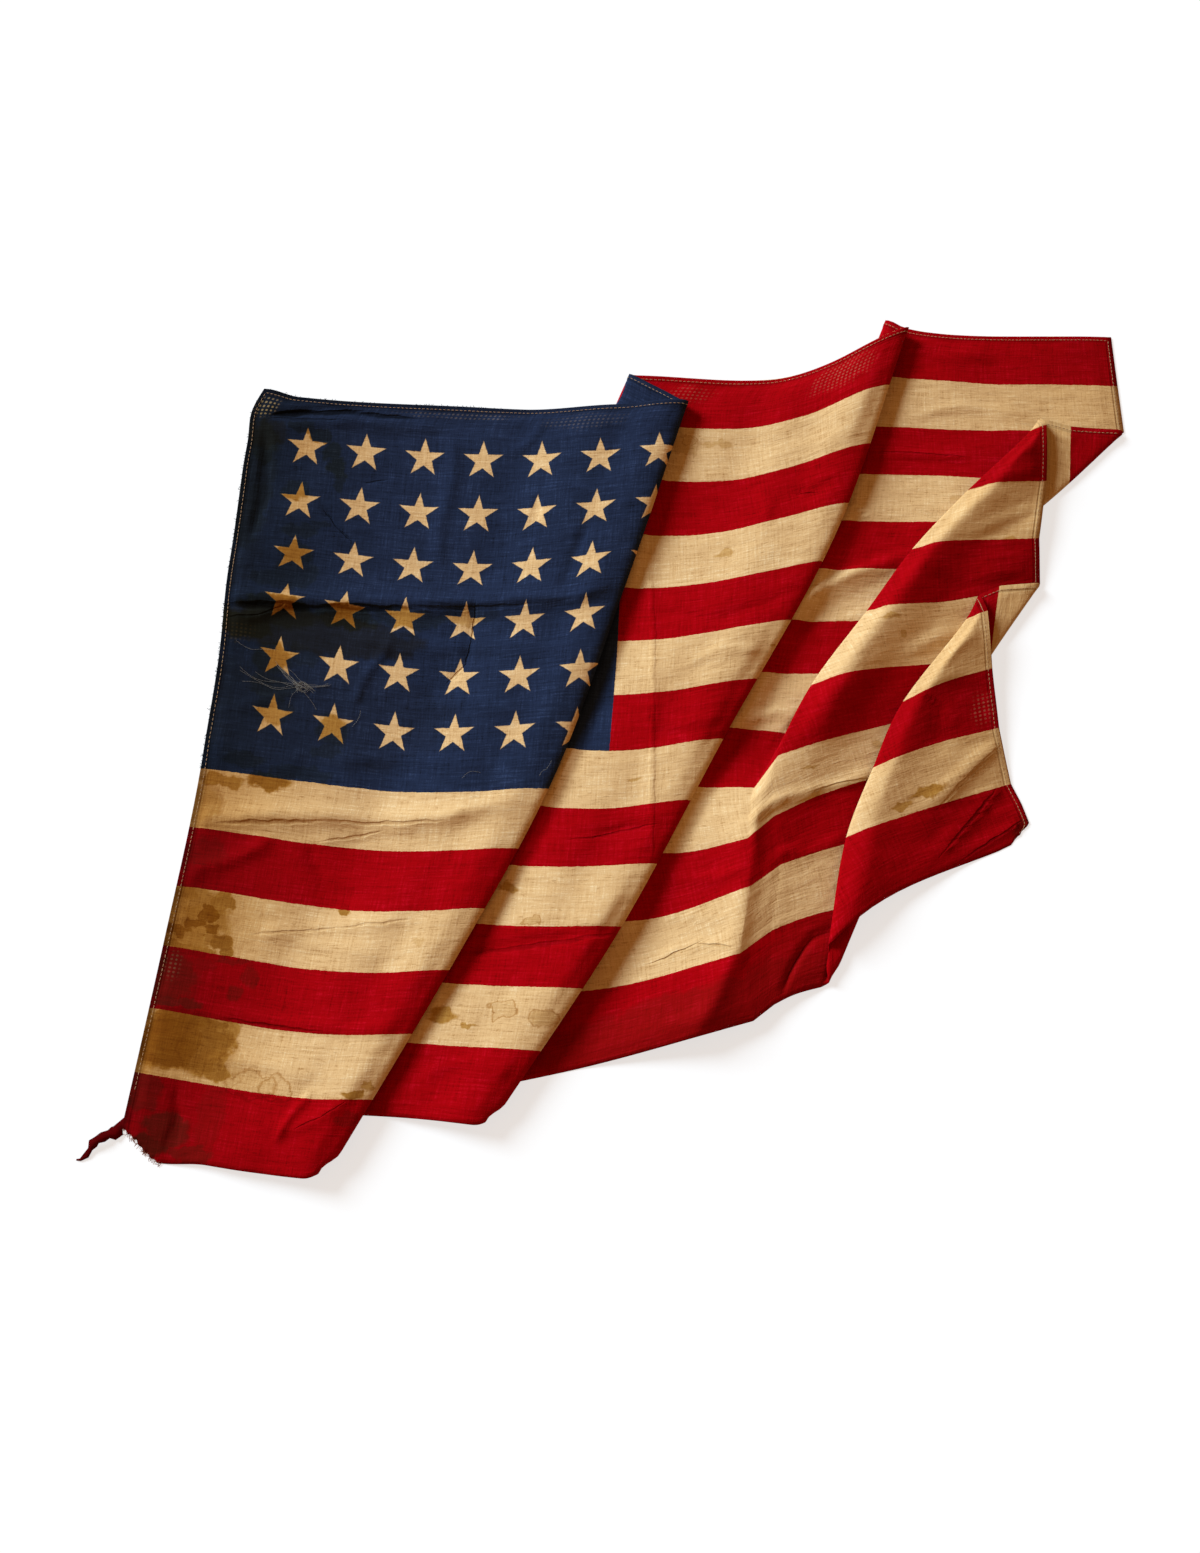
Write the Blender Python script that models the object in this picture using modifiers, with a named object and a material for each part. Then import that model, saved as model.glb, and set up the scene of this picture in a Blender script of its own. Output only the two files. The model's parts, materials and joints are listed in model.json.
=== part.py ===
"""A printed cotton flag, folded back and forth from its hoist and laid on a flat surface.

The cloth is one sheet. Every thread that runs along the fly is one back-and-forth section:
it leaves the hoist, turns down at the first fold, up again at the second, and so on to the
fly edge. The sections are worked out from the fold lines below and lofted from the top edge
to the bottom edge, and Solidify gives the sheet its thickness. Metres, +Z up, the surface at
z = 0, the printed side up on the hoist panel and the top edge towards +Y.
"""

import math

import bmesh
import bpy
import numpy as np

# ---- driving sizes ---------------------------------------------------------------------
STRIPE = 0.046            # width of one stripe
HOIST_STRIPES = 13.2      # height of the cloth in stripes: the last one is a little wide
CLOTH = 0.0012            # thickness of the sheet with its finish
CM = 0.01
CENTRE = (-0.0016, 0.0030)  # middle of the folded cloth's outline, which is set on the origin

LAY = CLOTH / 2           # height of the sheet's middle where it lies on the surface
OVER = 0.0100             # height of a layer that lies over a fold
CREST = 0.0135            # height of a layer where it turns over at a fold
TUCK = 0.45               # where a tucked layer lies between the ones below and above it
FOLD_REACH = 0.0065       # how far back from its tip a fold starts to turn
NARROW_REACH = 0.4        # most of a narrow layer's width that one of its folds may take up
RAMP = 0.045              # width over which a layer climbs onto the pile beneath it
CREST_BAND = 0.035        # width of the swelling beside a fold
RUN_ON = 0.2              # how far a line is taken to run on past its ends, to measure from it
ROUTE_POINTS = 60         # points along a line, to measure from it
STEEPEST = 0.9            # how steeply a new layer rises from the fly edge where it starts
SHORTEST = 0.0001         # edges of the mesh shorter than this are closed up

# ---- fold lines ------------------------------------------------------------------------
# A row for each edge, fold or slack line across the cloth, in the order in which a thread
# meets them. Places are in centimetres on the surface, at some stripes down the line.
# Fold lines E to H start on the fly edge, at the first stripe of their row.
LINES = {
    # name: (stripes down), (x in cm), (y in cm)
    "hoist": ((0, 0.3, 1, 3, 4, 7, 10, 13.2),
              (-29.8, -30.5, -30.8, -31.5, -31.9, -32.9, -34.9, -37.3),
              (28.1, 26.8, 23.5, 14.5, 10.7, -3.3, -16.8, -31.6)),
    "slack 1": ((0, 3.5, 7, 10, 13.2),
                (-3.1, -7.8, -14.5, -19.7, -25.3), (26.4, 10.5, -5.3, -18.9, -33.3)),
    "fold A": ((0, 3.5, 7, 10, 13.2),
               (4.8, -0.3, -6.2, -13.4, -22.0), (26.7, 11.2, -5.1, -18.7, -33.6)),
    "fold B": ((0, 0.7, 3.5, 7, 10, 13.2),
               (0.1, -1.1, -4.6, -9.8, -16.4, -24.7), (29.5, 26.6, 13.3, -1.3, -14.9, -28.9)),
    "slack 3": ((0, 3.5, 7, 10, 13.2),
                (14.0, 6.8, -0.8, -6.4, -13.9), (29.5, 13.6, -2.1, -15.5, -29.5)),
    "fold C": ((0, 3.5, 7, 10, 13.2),
               (22.8, 16.3, 7.1, -0.7, -10.2), (33.2, 15.5, -1.2, -15.5, -29.9)),
    "fold D": ((0, 3.5, 7, 10, 12, 13.2),
               (21.1, 14.4, 3.8, -3.6, -7.9, -11.5), (34.2, 18.6, 4.0, -10.0, -20.7, -27.4)),
    "slack 5": ((0, 2, 4, 7, 10, 13.2),
                (23.2, 21.9, 19.5, 12.5, 5.3, -3.8), (33.6, 24.9, 16.8, 4.2, -9.7, -25.8)),
    "fold E": ((2, 3, 3.6, 5, 7, 8, 9, 10, 11, 12, 13.2),
               (40.0, 35.2, 32.9, 26.0, 17.8, 12.8, 9.4, 8.7, 8.8, 8.0, 8.9),
               (24.5, 20.0, 18.0, 12.6, 4.2, -0.6, -5.0, -9.0, -12.6, -17.5, -22.4)),
    "fold F": ((3.6, 4, 5, 6, 7, 8, 9, 10, 11, 12, 13.2),
               (33.1, 32.1, 26.8, 22.2, 18.4, 13.9, 11.2, 10.7, 11.2, 10.5, 10.5),
               (25.4, 24.1, 19.0, 14.1, 9.0, 3.0, -2.6, -7.3, -10.9, -15.7, -21.2)),
    "slack 7": ((6, 7, 8, 9, 10, 11, 12, 13.2),
                (27.3, 24.3, 17.8, 15.3, 14.4, 13.9, 12.6, 11.7),
                (14.8, 9.7, 4.0, -1.2, -5.5, -9.9, -14.9, -20.6)),
    "fold G": ((7, 8, 9, 10, 11, 12, 13.2),
               (32.3, 28.0, 25.5, 22.8, 20.2, 17.6, 14.8),
               (11.5, 5.5, 1.5, -3.0, -8.3, -13.6, -19.7)),
    "fold H": ((8.35, 9, 10, 11, 12, 13.2),
               (27.3, 26.1, 20.9, 18.4, 16.2, 14.6), (10.4, 8.3, 1.7, -3.5, -8.8, -16.8)),
    "slack 9": ((10, 11, 12, 12.7, 13.2),
                (24.3, 23.3, 22.3, 18.8, 16.9), (3.3, -1.6, -6.6, -11.2, -14.8)),
    "fly": ((0, 1, 2, 3, 3.6, 4, 5, 6, 7, 8, 8.35, 9, 10, 11, 12, 12.4, 12.85, 13.2),
            (39.6, 39.8, 40.0, 35.5, 33.1, 33.3, 33.1, 32.3,
             32.3, 28.9, 27.3, 27.7, 27.9, 28.3, 29.1, 29.8, 30.3, 30.0),
            (32.9, 28.5, 24.5, 24.7, 25.4, 24.5, 19.8, 15.1,
             11.5, 11.1, 10.4, 8.9, 4.4, -0.2, -4.5, -6.0, -7.5, -8.8)),
}

# A row for each layer of a section, from the hoist: the line that it ends on, the slack
# line that it passes, the fold beneath it that it climbs over and the side of that fold on
# which the pile lies (+1 right, -1 left), whether it is tucked inside, and the number of
# spans in the mesh.
LAYERS = (
    # ends on, slack line, climbs over, side, tucked, spans
    ("fold A", "slack 1", "fold B", +1, False, 10),
    ("fold B", None, None, 0, True, 2),
    ("fold C", "slack 3", "fold D", +1, False, 8),
    ("fold D", None, None, 0, True, 2),
    ("fold E", "slack 5", None, 0, False, 8),
    ("fold F", None, None, 0, True, 2),
    ("fold G", "slack 7", "fold E", -1, False, 8),
    ("fold H", None, None, 0, True, 2),
    ("fly", "slack 9", "fold G", -1, False, 5),
)
TURN_SPANS = 4            # spans in the mesh around each fold

# ---- the wave --------------------------------------------------------------------------
# Below stripe 8.5 the pleat E-F opens out, and the cloth runs on over one broad wave.
WAVE_CREST = ((8, 8.8, 10, 11, 12, 13.2),
              (14.4, 12.2, 9.8, 7.3, 4.9, 2.5), (3.0, -3.0, -9.5, -15.5, -21.0, -24.6))
WAVE_HEIGHT = 0.013
WAVE_LEFT = 0.050         # width of its left flank
WAVE_RIGHT = 0.062        # width of its right flank
PLEAT_OPENS = (8.2, 9.4)  # stripes between which the pleat's layers close into the wave
PLEAT_ENDS = (7.9, 8.7)   # stripes between which its tucked layer becomes a mere slope

# ---- tugs ------------------------------------------------------------------------------
# A row for each place at which the cloth is drawn sideways as it lies, in centimetres.
TUGS = (
    # along, down (in the flat cloth), reach along, reach down, moved right, moved up
    (5.0, 0.0, 14.0, 4.4, 0.0, -0.5),
    (0.0, 2.3, 4.0, 5.0, 0.25, 0.0),
    (0.0, 23.0, 5.0, 8.0, 0.25, 0.0),
)

# ---- the torn corner -------------------------------------------------------------------
TEAR_TOP = 12.72          # stripe at which the hoist edge ends
TEAR_WIDTH = 0.033        # how far along the bottom edge the cloth is gone
STRIP_ROOT = 12.54        # stripe at which the torn strip of hem leaves the hoist edge
# The strip's route: how far it runs left and down from its root, its width and its height.
TORN_STRIP = (
    # left, down, width, height in cm
    (0.5, 0.5, 0.7, 0.06),
    (1.2, 0.9, 0.9, 0.30),
    (2.0, 1.2, 1.1, 0.45),
    (2.5, 1.8, 0.8, 0.25),
    (3.0, 2.3, 0.4, 0.10),
    (3.4, 2.5, 0.2, 0.06),
)

# Stripes at which a section is made: evenly, where a fold starts and grows, and at the tear.
EVEN_SECTIONS = (0, 0.6, 1.3, 2.6, 3.1, 4.4, 5.0, 5.7, 6.4, 7.6, 8.0, 9.0, 9.5, 10.1, 10.8,
                 11.5, 12.1, HOIST_STRIPES)
FOLD_STARTS = tuple(LINES[name][0][0] for name in ("fold E", "fold F", "fold G", "fold H"))
START_ROWS = (0.0, 0.15)   # a fold starts on the fly edge and is turned right over just below
SECTIONS = sorted(set(EVEN_SECTIONS + (STRIP_ROOT, TEAR_TOP)
                      + tuple(start + row for start in FOLD_STARTS for row in START_ROWS)))


def smooth_step(t):
    """Rise from 0 to 1 with level ends."""
    t = np.clip(t, 0.0, 1.0)
    return t * t * (3.0 - 2.0 * t)


def line_at(name, stripes):
    """Places in metres on a line. Before its start a fold lies on the fly edge."""
    row = WAVE_CREST if name == "wave" else LINES[name]
    knots = np.array(row[0], float)
    places = np.array(row[1:], float).T * CM
    stripes = np.asarray(stripes, float)
    if name == "fly":
        return np.stack([np.interp(stripes, knots, p) for p in places.T], axis=-1)
    slopes = np.gradient(places, knots, axis=0)
    i = np.clip(np.searchsorted(knots, stripes, side="right") - 1, 0, len(knots) - 2)
    span = knots[i + 1] - knots[i]
    t = np.clip((stripes - knots[i]) / span, 0.0, 1.0)[..., None]
    span = span[..., None]
    out = (places[i] * (2 * t ** 3 - 3 * t ** 2 + 1) + places[i + 1] * (3 * t ** 2 - 2 * t ** 3)
           + slopes[i] * span * (t ** 3 - 2 * t ** 2 + t) + slopes[i + 1] * span * (t ** 3 - t ** 2))
    if knots[0] > 0 and name != "wave":
        out = np.where((stripes < knots[0])[..., None], line_at("fly", stripes), out)
    return out


def distance_from(name, points):
    """Distance of points from a line, positive on its right as seen from the bottom edge."""
    first = LINES[name][0][0] if name in LINES else WAVE_CREST[0][0]
    route = line_at(name, np.linspace(first, HOIST_STRIPES, ROUTE_POINTS))
    ahead, behind = route[0] - route[1], route[-1] - route[-2]
    route = np.vstack([route[0] + ahead / np.linalg.norm(ahead) * RUN_ON, route,
                       route[-1] + behind / np.linalg.norm(behind) * RUN_ON])
    start, run = route[:-1], np.diff(route, axis=0)
    gap = points[..., None, :] - start
    along = np.clip((gap * run).sum(-1) / (run * run).sum(-1), 0.0, 1.0)
    off = gap - along[..., None] * run
    size = np.sqrt((off * off).sum(-1))
    nearest = size.argmin(-1)
    side = np.take_along_axis(run[:, 0] * gap[..., 1] - run[:, 1] * gap[..., 0],
                              nearest[..., None], -1)[..., 0]
    return np.take_along_axis(size, nearest[..., None], -1)[..., 0] * np.sign(side)


def wave_height(points):
    """Height of the broad wave that the pleat E-F opens into."""
    off = distance_from("wave", points)
    flank = np.where(off < 0, -off / WAVE_LEFT, off / WAVE_RIGHT)
    return WAVE_HEIGHT * smooth_step(1.0 - flank)


def layer_path(start, slack, end, share):
    """Places along one thread of a layer, at shares 0 to 1 of its way, by its slack line."""
    share = share[:, None]
    if slack is None:
        return start + (end - start) * share
    before, after = np.linalg.norm(slack - start), np.linalg.norm(end - slack)
    at = np.clip(before / max(before + after, 1e-9), 0.15, 0.85)
    enter, leave = (slack - start) / at, (end - slack) / (1 - at)
    through = enter * (1 - at) + leave * at
    first = share < at
    t = np.where(first, share / at, (share - at) / (1 - at))
    span = np.where(first, at, 1 - at)
    a, b = np.where(first, start, slack), np.where(first, slack, end)
    slope_a, slope_b = np.where(first, enter, through), np.where(first, through, leave)
    return (a * (2 * t ** 3 - 3 * t ** 2 + 1) + b * (3 * t ** 2 - 2 * t ** 3)
            + slope_a * span * (t ** 3 - 2 * t ** 2 + t) + slope_b * span * (t ** 3 - t ** 2))


def resting_height(layers, i, points, stripes):
    """Height of a layer that isn't tucked, from what it lies on."""
    end_line, _, under, side = layers[i][:4]
    opened = smooth_step((stripes - PLEAT_OPENS[0]) / (PLEAT_OPENS[1] - PLEAT_OPENS[0]))
    height = np.full(points.shape[:-1], LAY)
    if under:
        pile = smooth_step(1.0 + side * distance_from(under, points) / RAMP)
        rim = layers[i - 1][0] if side < 0 else end_line
        swell = smooth_step(1.0 - np.abs(distance_from(rim, points)) / CREST_BAND)
        lift = (OVER - LAY) * pile + (CREST - OVER) * swell
        height = height + lift * ((1 - opened) if under == "fold E" else 1.0)
    if end_line in ("fold E", "fold G"):
        height = height + opened * wave_height(points)
    return height


def layer_height(layers, i, points, stripes, share):
    """Height of a layer's middle. A tucked one lies between its two neighbours."""
    if not layers[i][4]:
        return resting_height(layers, i, points, stripes)
    between = [resting_height(layers, j, points, stripes) for j in (i - 1, i + 1)]
    low, high = np.minimum(*between), np.maximum(*between)
    place = TUCK
    if layers[i][0] == "fold F":
        ended = smooth_step((stripes - PLEAT_ENDS[0]) / (PLEAT_ENDS[1] - PLEAT_ENDS[0]))
        place = TUCK * (1 - ended) + share * ended
    return low + (high - low) * place


def turn_points(enter, tip, leave, spans):
    """Points around a fold between the place where the cloth enters it and where it leaves."""
    angle = np.linspace(0.0, math.pi, spans + 1)[1:-1]
    foot = np.where((angle < math.pi / 2)[:, None], enter[:, None, :2], leave[:, None, :2])
    place = tip[:, None] + (foot - tip[:, None]) * (1.0 - np.sin(angle))[:, None]
    mix = (0.5 - 0.5 * np.cos(angle))[:, None]
    height = enter[:, None, 2:] * (1 - mix) + leave[:, None, 2:] * mix
    return np.concatenate([place, height], axis=-1)


def sections(stripes, layers, turn_spans):
    """The cloth's sections, as places (row, column, xyz) and lengths along the fly."""
    stripes = np.asarray(stripes, float)
    tips = [line_at("hoist", stripes)] + [line_at(layer[0], stripes) for layer in layers]
    widths = [np.linalg.norm(b - a, axis=-1) for a, b in zip(tips, tips[1:])]
    reach = [np.zeros(len(stripes))]
    for i in range(1, len(layers)):
        narrower = np.minimum(widths[i - 1], widths[i])
        reach.append(np.minimum(FOLD_REACH, NARROW_REACH * narrower))
    reach.append(np.zeros(len(stripes)))

    paths = []
    before = None
    for i, (_, slack_name, _, _, _, spans) in enumerate(layers):
        slack = line_at(slack_name, stripes) if slack_name else None
        length = np.maximum(widths[i], 1e-9)
        share = np.linspace(0.0, 1.0, spans + 1)
        first, last = reach[i] / length, 1.0 - reach[i + 1] / length
        flat = []
        for r, stripe in enumerate(stripes):
            slack_here = slack[r] if slack_name and stripe >= LINES[slack_name][0][0] else None
            flat.append(layer_path(tips[i][r], slack_here, tips[i + 1][r],
                                   first[r] + (last[r] - first[r]) * share))
        flat = np.array(flat)
        height = layer_height(layers, i, flat, stripes[:, None], share)
        if before is not None:
            step = np.maximum(np.abs(height[:, 0] - before), 1e-9)
            grown = np.clip(STEEPEST * widths[i] / step, 0.0, 1.0)[:, None]
            height = before[:, None] * (1 - grown) + height * grown
        before = height[:, -1]
        paths.append(np.concatenate([flat, height[..., None]], axis=-1))

    places = paths[0]
    for i in range(1, len(layers)):
        arc = turn_points(paths[i - 1][:, -1], tips[i], paths[i][:, 0], turn_spans)
        places = np.concatenate([places, arc, paths[i]], axis=1)
    steps = np.linalg.norm(np.diff(places, axis=1), axis=-1)
    lengths = np.concatenate([np.zeros((len(stripes), 1)), np.cumsum(steps, axis=1)], axis=1)
    return places, lengths


def tug(places, lengths, stripes):
    """Draw the cloth sideways at the tugs."""
    down = np.asarray(stripes, float)[:, None] * STRIPE
    for along, low, reach_along, reach_down, right, up in TUGS:
        gap = np.hypot((lengths - along * CM) / (reach_along * CM),
                       (down - low * CM) / (reach_down * CM))
        places[..., :2] += smooth_step(1.0 - gap)[..., None] * np.array((right, up)) * CM
    return places


def tear_corner(places, lengths, stripes):
    """Draw the lower rows up to the torn edge at the bottom of the hoist."""
    last = len(stripes) - 1
    gone = np.clip(1.0 - lengths[last] / TEAR_WIDTH, 0.0, 1.0)[:, None]
    places[last] += (places[last - 1] - places[last]) * gone
    return places


def strip_rows(root_top, root_bottom):
    """The torn strip of hem that hangs from the hoist edge, as rows of two places."""
    rows = [(root_top, root_bottom)]
    middle = (root_top + root_bottom) / 2
    route = [middle] + [middle + np.array([-left * CM, -down * CM, height * CM - middle[2]])
                        for left, down, _, height in TORN_STRIP]
    for i, (_, _, width, _) in enumerate(TORN_STRIP, start=1):
        ahead = route[min(i + 1, len(route) - 1)] - route[i - 1]
        across = np.array([-ahead[1], ahead[0], 0.0]) / np.hypot(ahead[0], ahead[1])
        rows.append((route[i] - across * width * CM / 2, route[i] + across * width * CM / 2))
    return rows


def cloth_material():
    material = bpy.data.materials.new("printed cotton")
    material.use_nodes = True
    shader = material.node_tree.nodes["Principled BSDF"]
    shader.inputs["Base Color"].default_value = (0.30, 0.02, 0.02, 1.0)
    shader.inputs["Roughness"].default_value = 0.9
    shader.inputs["Metallic"].default_value = 0.0
    return material


def make_flag(collection):
    places, lengths = sections(SECTIONS, LAYERS, TURN_SPANS)
    places = tug(places, lengths, SECTIONS)
    places = tear_corner(places, lengths, SECTIONS)
    places[..., :2] -= CENTRE
    rows, columns = places.shape[:2]

    mesh = bpy.data.meshes.new("flag")
    cloth = bmesh.new()
    grid = [[cloth.verts.new(places[r, c]) for c in range(columns)] for r in range(rows)]
    for r in range(rows - 1):
        for c in range(columns - 1):
            if np.linalg.norm(places[r, c + 1] - places[r, c]) > SHORTEST:
                cloth.faces.new((grid[r + 1][c], grid[r + 1][c + 1],
                                 grid[r][c + 1], grid[r][c]))

    root = SECTIONS.index(STRIP_ROOT)
    strip = strip_rows(places[root, 0], places[root + 1, 0])
    edge = [grid[root][0], grid[root + 1][0]]
    for top, bottom in strip[1:]:
        new_edge = [cloth.verts.new(top), cloth.verts.new(bottom)]
        cloth.faces.new((new_edge[1], edge[1], edge[0], new_edge[0]))
        edge = new_edge

    bmesh.ops.remove_doubles(cloth, verts=cloth.verts, dist=SHORTEST)
    loose = [vert for vert in cloth.verts if not vert.link_faces]
    bmesh.ops.delete(cloth, geom=loose, context="VERTS")
    cloth.to_mesh(mesh)
    cloth.free()

    flag = bpy.data.objects.new("flag", mesh)
    collection.objects.link(flag)
    mesh.materials.append(cloth_material())
    thickness = flag.modifiers.new("thickness", "SOLIDIFY")
    thickness.thickness = CLOTH
    thickness.offset = 0.0
    return flag


def clear_scene():
    for old in list(bpy.data.objects):
        bpy.data.objects.remove(old, do_unlink=True)


clear_scene()
flag_collection = bpy.data.collections.new("folded tattered flag")
bpy.context.scene.collection.children.link(flag_collection)
make_flag(flag_collection)
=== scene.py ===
"""The looks of an old printed cotton flag that lies folded back and forth on a pale surface.

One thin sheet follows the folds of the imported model. It is laid out by the flat cloth: every
place on it is known by how far it lies along the fly from the hoist and how far down from the
top edge, and the print, the hems, the stitching, the creases and the stains are all placed so.
Metres, +Z up, the surface at z = 0, the flag's top edge towards +Y.
"""

import json
import math

import bmesh
import bpy
import numpy as np
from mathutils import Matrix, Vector, noise

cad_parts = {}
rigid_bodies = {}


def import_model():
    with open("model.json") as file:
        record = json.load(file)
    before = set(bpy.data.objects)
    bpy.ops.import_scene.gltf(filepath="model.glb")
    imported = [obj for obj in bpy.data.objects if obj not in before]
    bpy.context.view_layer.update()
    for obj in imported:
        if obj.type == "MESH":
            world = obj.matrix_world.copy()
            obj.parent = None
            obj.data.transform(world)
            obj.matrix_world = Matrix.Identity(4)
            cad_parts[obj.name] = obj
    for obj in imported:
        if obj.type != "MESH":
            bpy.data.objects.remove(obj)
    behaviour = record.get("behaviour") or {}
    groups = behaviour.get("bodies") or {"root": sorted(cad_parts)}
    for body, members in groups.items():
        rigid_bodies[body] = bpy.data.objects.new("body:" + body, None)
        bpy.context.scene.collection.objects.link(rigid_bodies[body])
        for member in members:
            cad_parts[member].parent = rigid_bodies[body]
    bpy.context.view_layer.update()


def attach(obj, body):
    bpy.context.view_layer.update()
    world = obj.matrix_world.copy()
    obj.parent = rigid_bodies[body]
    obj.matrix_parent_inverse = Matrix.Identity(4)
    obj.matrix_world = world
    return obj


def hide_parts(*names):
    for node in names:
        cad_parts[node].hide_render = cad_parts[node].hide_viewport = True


for old in list(bpy.data.objects):
    bpy.data.objects.remove(old, do_unlink=True)

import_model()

# ---- the flat cloth --------------------------------------------------------------------
CM = 0.01
MM = 0.001
STRIPE = 0.046            # width of one stripe
STRIPES = 13
HOIST_STRIPES = 13.2      # height of the cloth in stripes: the last one is a little wide
DEEP = HOIST_STRIPES * STRIPE
FLY = 0.885               # length of the cloth from hoist to fly
CANTON_LONG = 0.4085      # length of the blue canton
CANTON_STRIPES = 7        # its height
STAR_COLUMNS = 7
STAR_ROWS = 6
FIRST_STAR = 1.08         # first column of stars, in stripes from the hoist
STAR_STEP = 1.03          # columns apart, in stripes
STAR_RADIUS = 0.344       # in stripes

# ---- how it lies -----------------------------------------------------------------------
CLOTH = 0.0005            # thickness of the cotton
HEM = 0.0011              # thickness of a hem, which is turned in twice
HEM_WIDE = 0.0050
LAY = CLOTH / 2           # height of the sheet's middle where it lies on the surface
OVER = 0.0100             # height of a layer that lies over a fold
CREST = 0.0150            # height of the swelling beside a fold that it turns over at
TUCK = 0.45               # where a tucked layer lies between the ones below and above it
FOLD_REACH = 0.0065       # how far back from its tip a fold starts to turn
NARROW_REACH = 0.4        # most of a narrow layer's width that one of its folds may take up
RAMP = 0.070              # width over which a layer climbs onto the pile beneath it
CREST_BACK = 0.013        # how far back from the fold the swelling is highest
CREST_BAND = 0.036        # how far it reaches on both sides of there
RUN_ON = 0.2              # how far a line is taken to run on past its ends, to measure from it
ROUTE_POINTS = 60         # points along a line, to measure from it
STEEPEST = 0.9            # how steeply a new layer rises from the fly edge where it starts
SHORTEST = 0.00005        # edges of the mesh shorter than this are closed up
BENDS_WITHIN = (0.15, 0.85)  # shares of a layer's way between which its slack line passes
CENTRE = (-0.0016, 0.0030)  # middle of the folded cloth's outline, which is set on the origin

# A row for each edge, fold or slack line across the cloth, in the order in which a thread
# meets them, and the crest of the broad wave. Places are in centimetres on the surface, at
# some stripes down the line. Fold lines E to H start on the fly edge, at their first stripe.
LINES = {
    # name: (stripes down), (x in cm), (y in cm)
    "hoist": ((0, 0.3, 1, 3, 4, 7, 10, 13.2),
              (-29.8, -30.5, -30.8, -31.5, -31.9, -32.9, -34.9, -37.3),
              (28.1, 26.8, 23.5, 14.5, 10.7, -3.3, -16.8, -31.6)),
    "slack 1": ((0, 3.5, 7, 10, 13.2),
                (-3.1, -7.8, -14.5, -19.7, -25.3), (26.4, 10.5, -5.3, -18.9, -33.3)),
    "fold A": ((0, 3.5, 7, 10, 13.2),
               (4.8, -0.3, -6.2, -13.4, -22.0), (26.7, 11.2, -5.1, -18.7, -33.6)),
    "fold B": ((0, 0.7, 3.5, 7, 10, 13.2),
               (0.1, -1.1, -4.6, -9.8, -16.4, -24.7), (29.5, 26.6, 13.3, -1.3, -14.9, -28.9)),
    "slack 3": ((0, 3.5, 7, 10, 13.2),
                (14.0, 6.8, -0.8, -6.4, -13.9), (29.5, 13.6, -2.1, -15.5, -29.5)),
    "fold C": ((0, 3.5, 7, 10, 13.2),
               (22.8, 16.3, 7.1, -0.7, -10.2), (33.2, 15.5, -1.2, -15.5, -29.9)),
    "fold D": ((0, 3.5, 7, 10, 12, 13.2),
               (21.1, 14.4, 3.8, -3.6, -7.9, -11.5), (34.2, 18.6, 4.0, -10.0, -20.7, -27.4)),
    "slack 5": ((0, 2, 4, 7, 10, 13.2),
                (23.2, 21.9, 19.5, 12.5, 5.3, -3.8), (33.6, 24.9, 16.8, 4.2, -9.7, -25.8)),
    "fold E": ((2, 3, 3.6, 5, 7, 8, 9, 10, 11, 12, 13.2),
               (40.0, 35.2, 32.9, 26.0, 17.8, 12.8, 9.4, 8.7, 8.8, 8.0, 8.9),
               (24.5, 20.0, 18.0, 12.6, 4.2, -0.6, -5.0, -9.0, -12.6, -17.5, -22.4)),
    "fold F": ((3.6, 4, 5, 6, 7, 8, 9, 10, 11, 12, 13.2),
               (33.1, 32.1, 26.8, 22.2, 18.4, 13.9, 11.2, 10.7, 11.2, 10.5, 10.5),
               (25.4, 24.1, 19.0, 14.1, 9.0, 3.0, -2.6, -7.3, -10.9, -15.7, -21.2)),
    "slack 7": ((6, 7, 8, 9, 10, 11, 12, 13.2),
                (27.3, 24.3, 17.8, 15.3, 14.4, 13.9, 12.6, 11.7),
                (14.8, 9.7, 4.0, -1.2, -5.5, -9.9, -14.9, -20.6)),
    "fold G": ((7, 8, 9, 10, 11, 12, 13.2),
               (32.3, 28.0, 25.5, 22.8, 20.2, 17.6, 14.8),
               (11.5, 5.5, 1.5, -3.0, -8.3, -13.6, -19.7)),
    "fold H": ((8.35, 9, 10, 11, 12, 13.2),
               (27.3, 26.1, 20.9, 18.4, 16.2, 14.6), (10.4, 8.3, 1.7, -3.5, -8.8, -16.8)),
    "slack 9": ((10, 11, 12, 12.7, 13.2),
                (24.3, 23.3, 22.3, 18.8, 16.9), (3.3, -1.6, -6.6, -11.2, -14.8)),
    "fly": ((0, 1, 2, 3, 3.6, 4, 5, 6, 7, 8, 8.35, 9, 10, 11, 12, 12.4, 12.85, 13.2),
            (39.6, 39.8, 40.0, 35.5, 33.1, 33.3, 33.1, 32.3,
             32.3, 28.9, 27.3, 27.7, 27.9, 28.3, 29.1, 29.8, 30.3, 30.0),
            (32.9, 28.5, 24.5, 24.7, 25.4, 24.5, 19.8, 15.1,
             11.5, 11.1, 10.4, 8.9, 4.4, -0.2, -4.5, -6.0, -7.5, -8.8)),
    "wave crest": ((8, 8.9, 9.5, 10, 11, 12, 13.2),
                   (14.4, 11.4, 9.8, 9.2, 8.6, 7.4, 4.7),
                   (3.0, -3.0, -6.2, -8.6, -12.6, -17.6, -23.5)),
}

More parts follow.
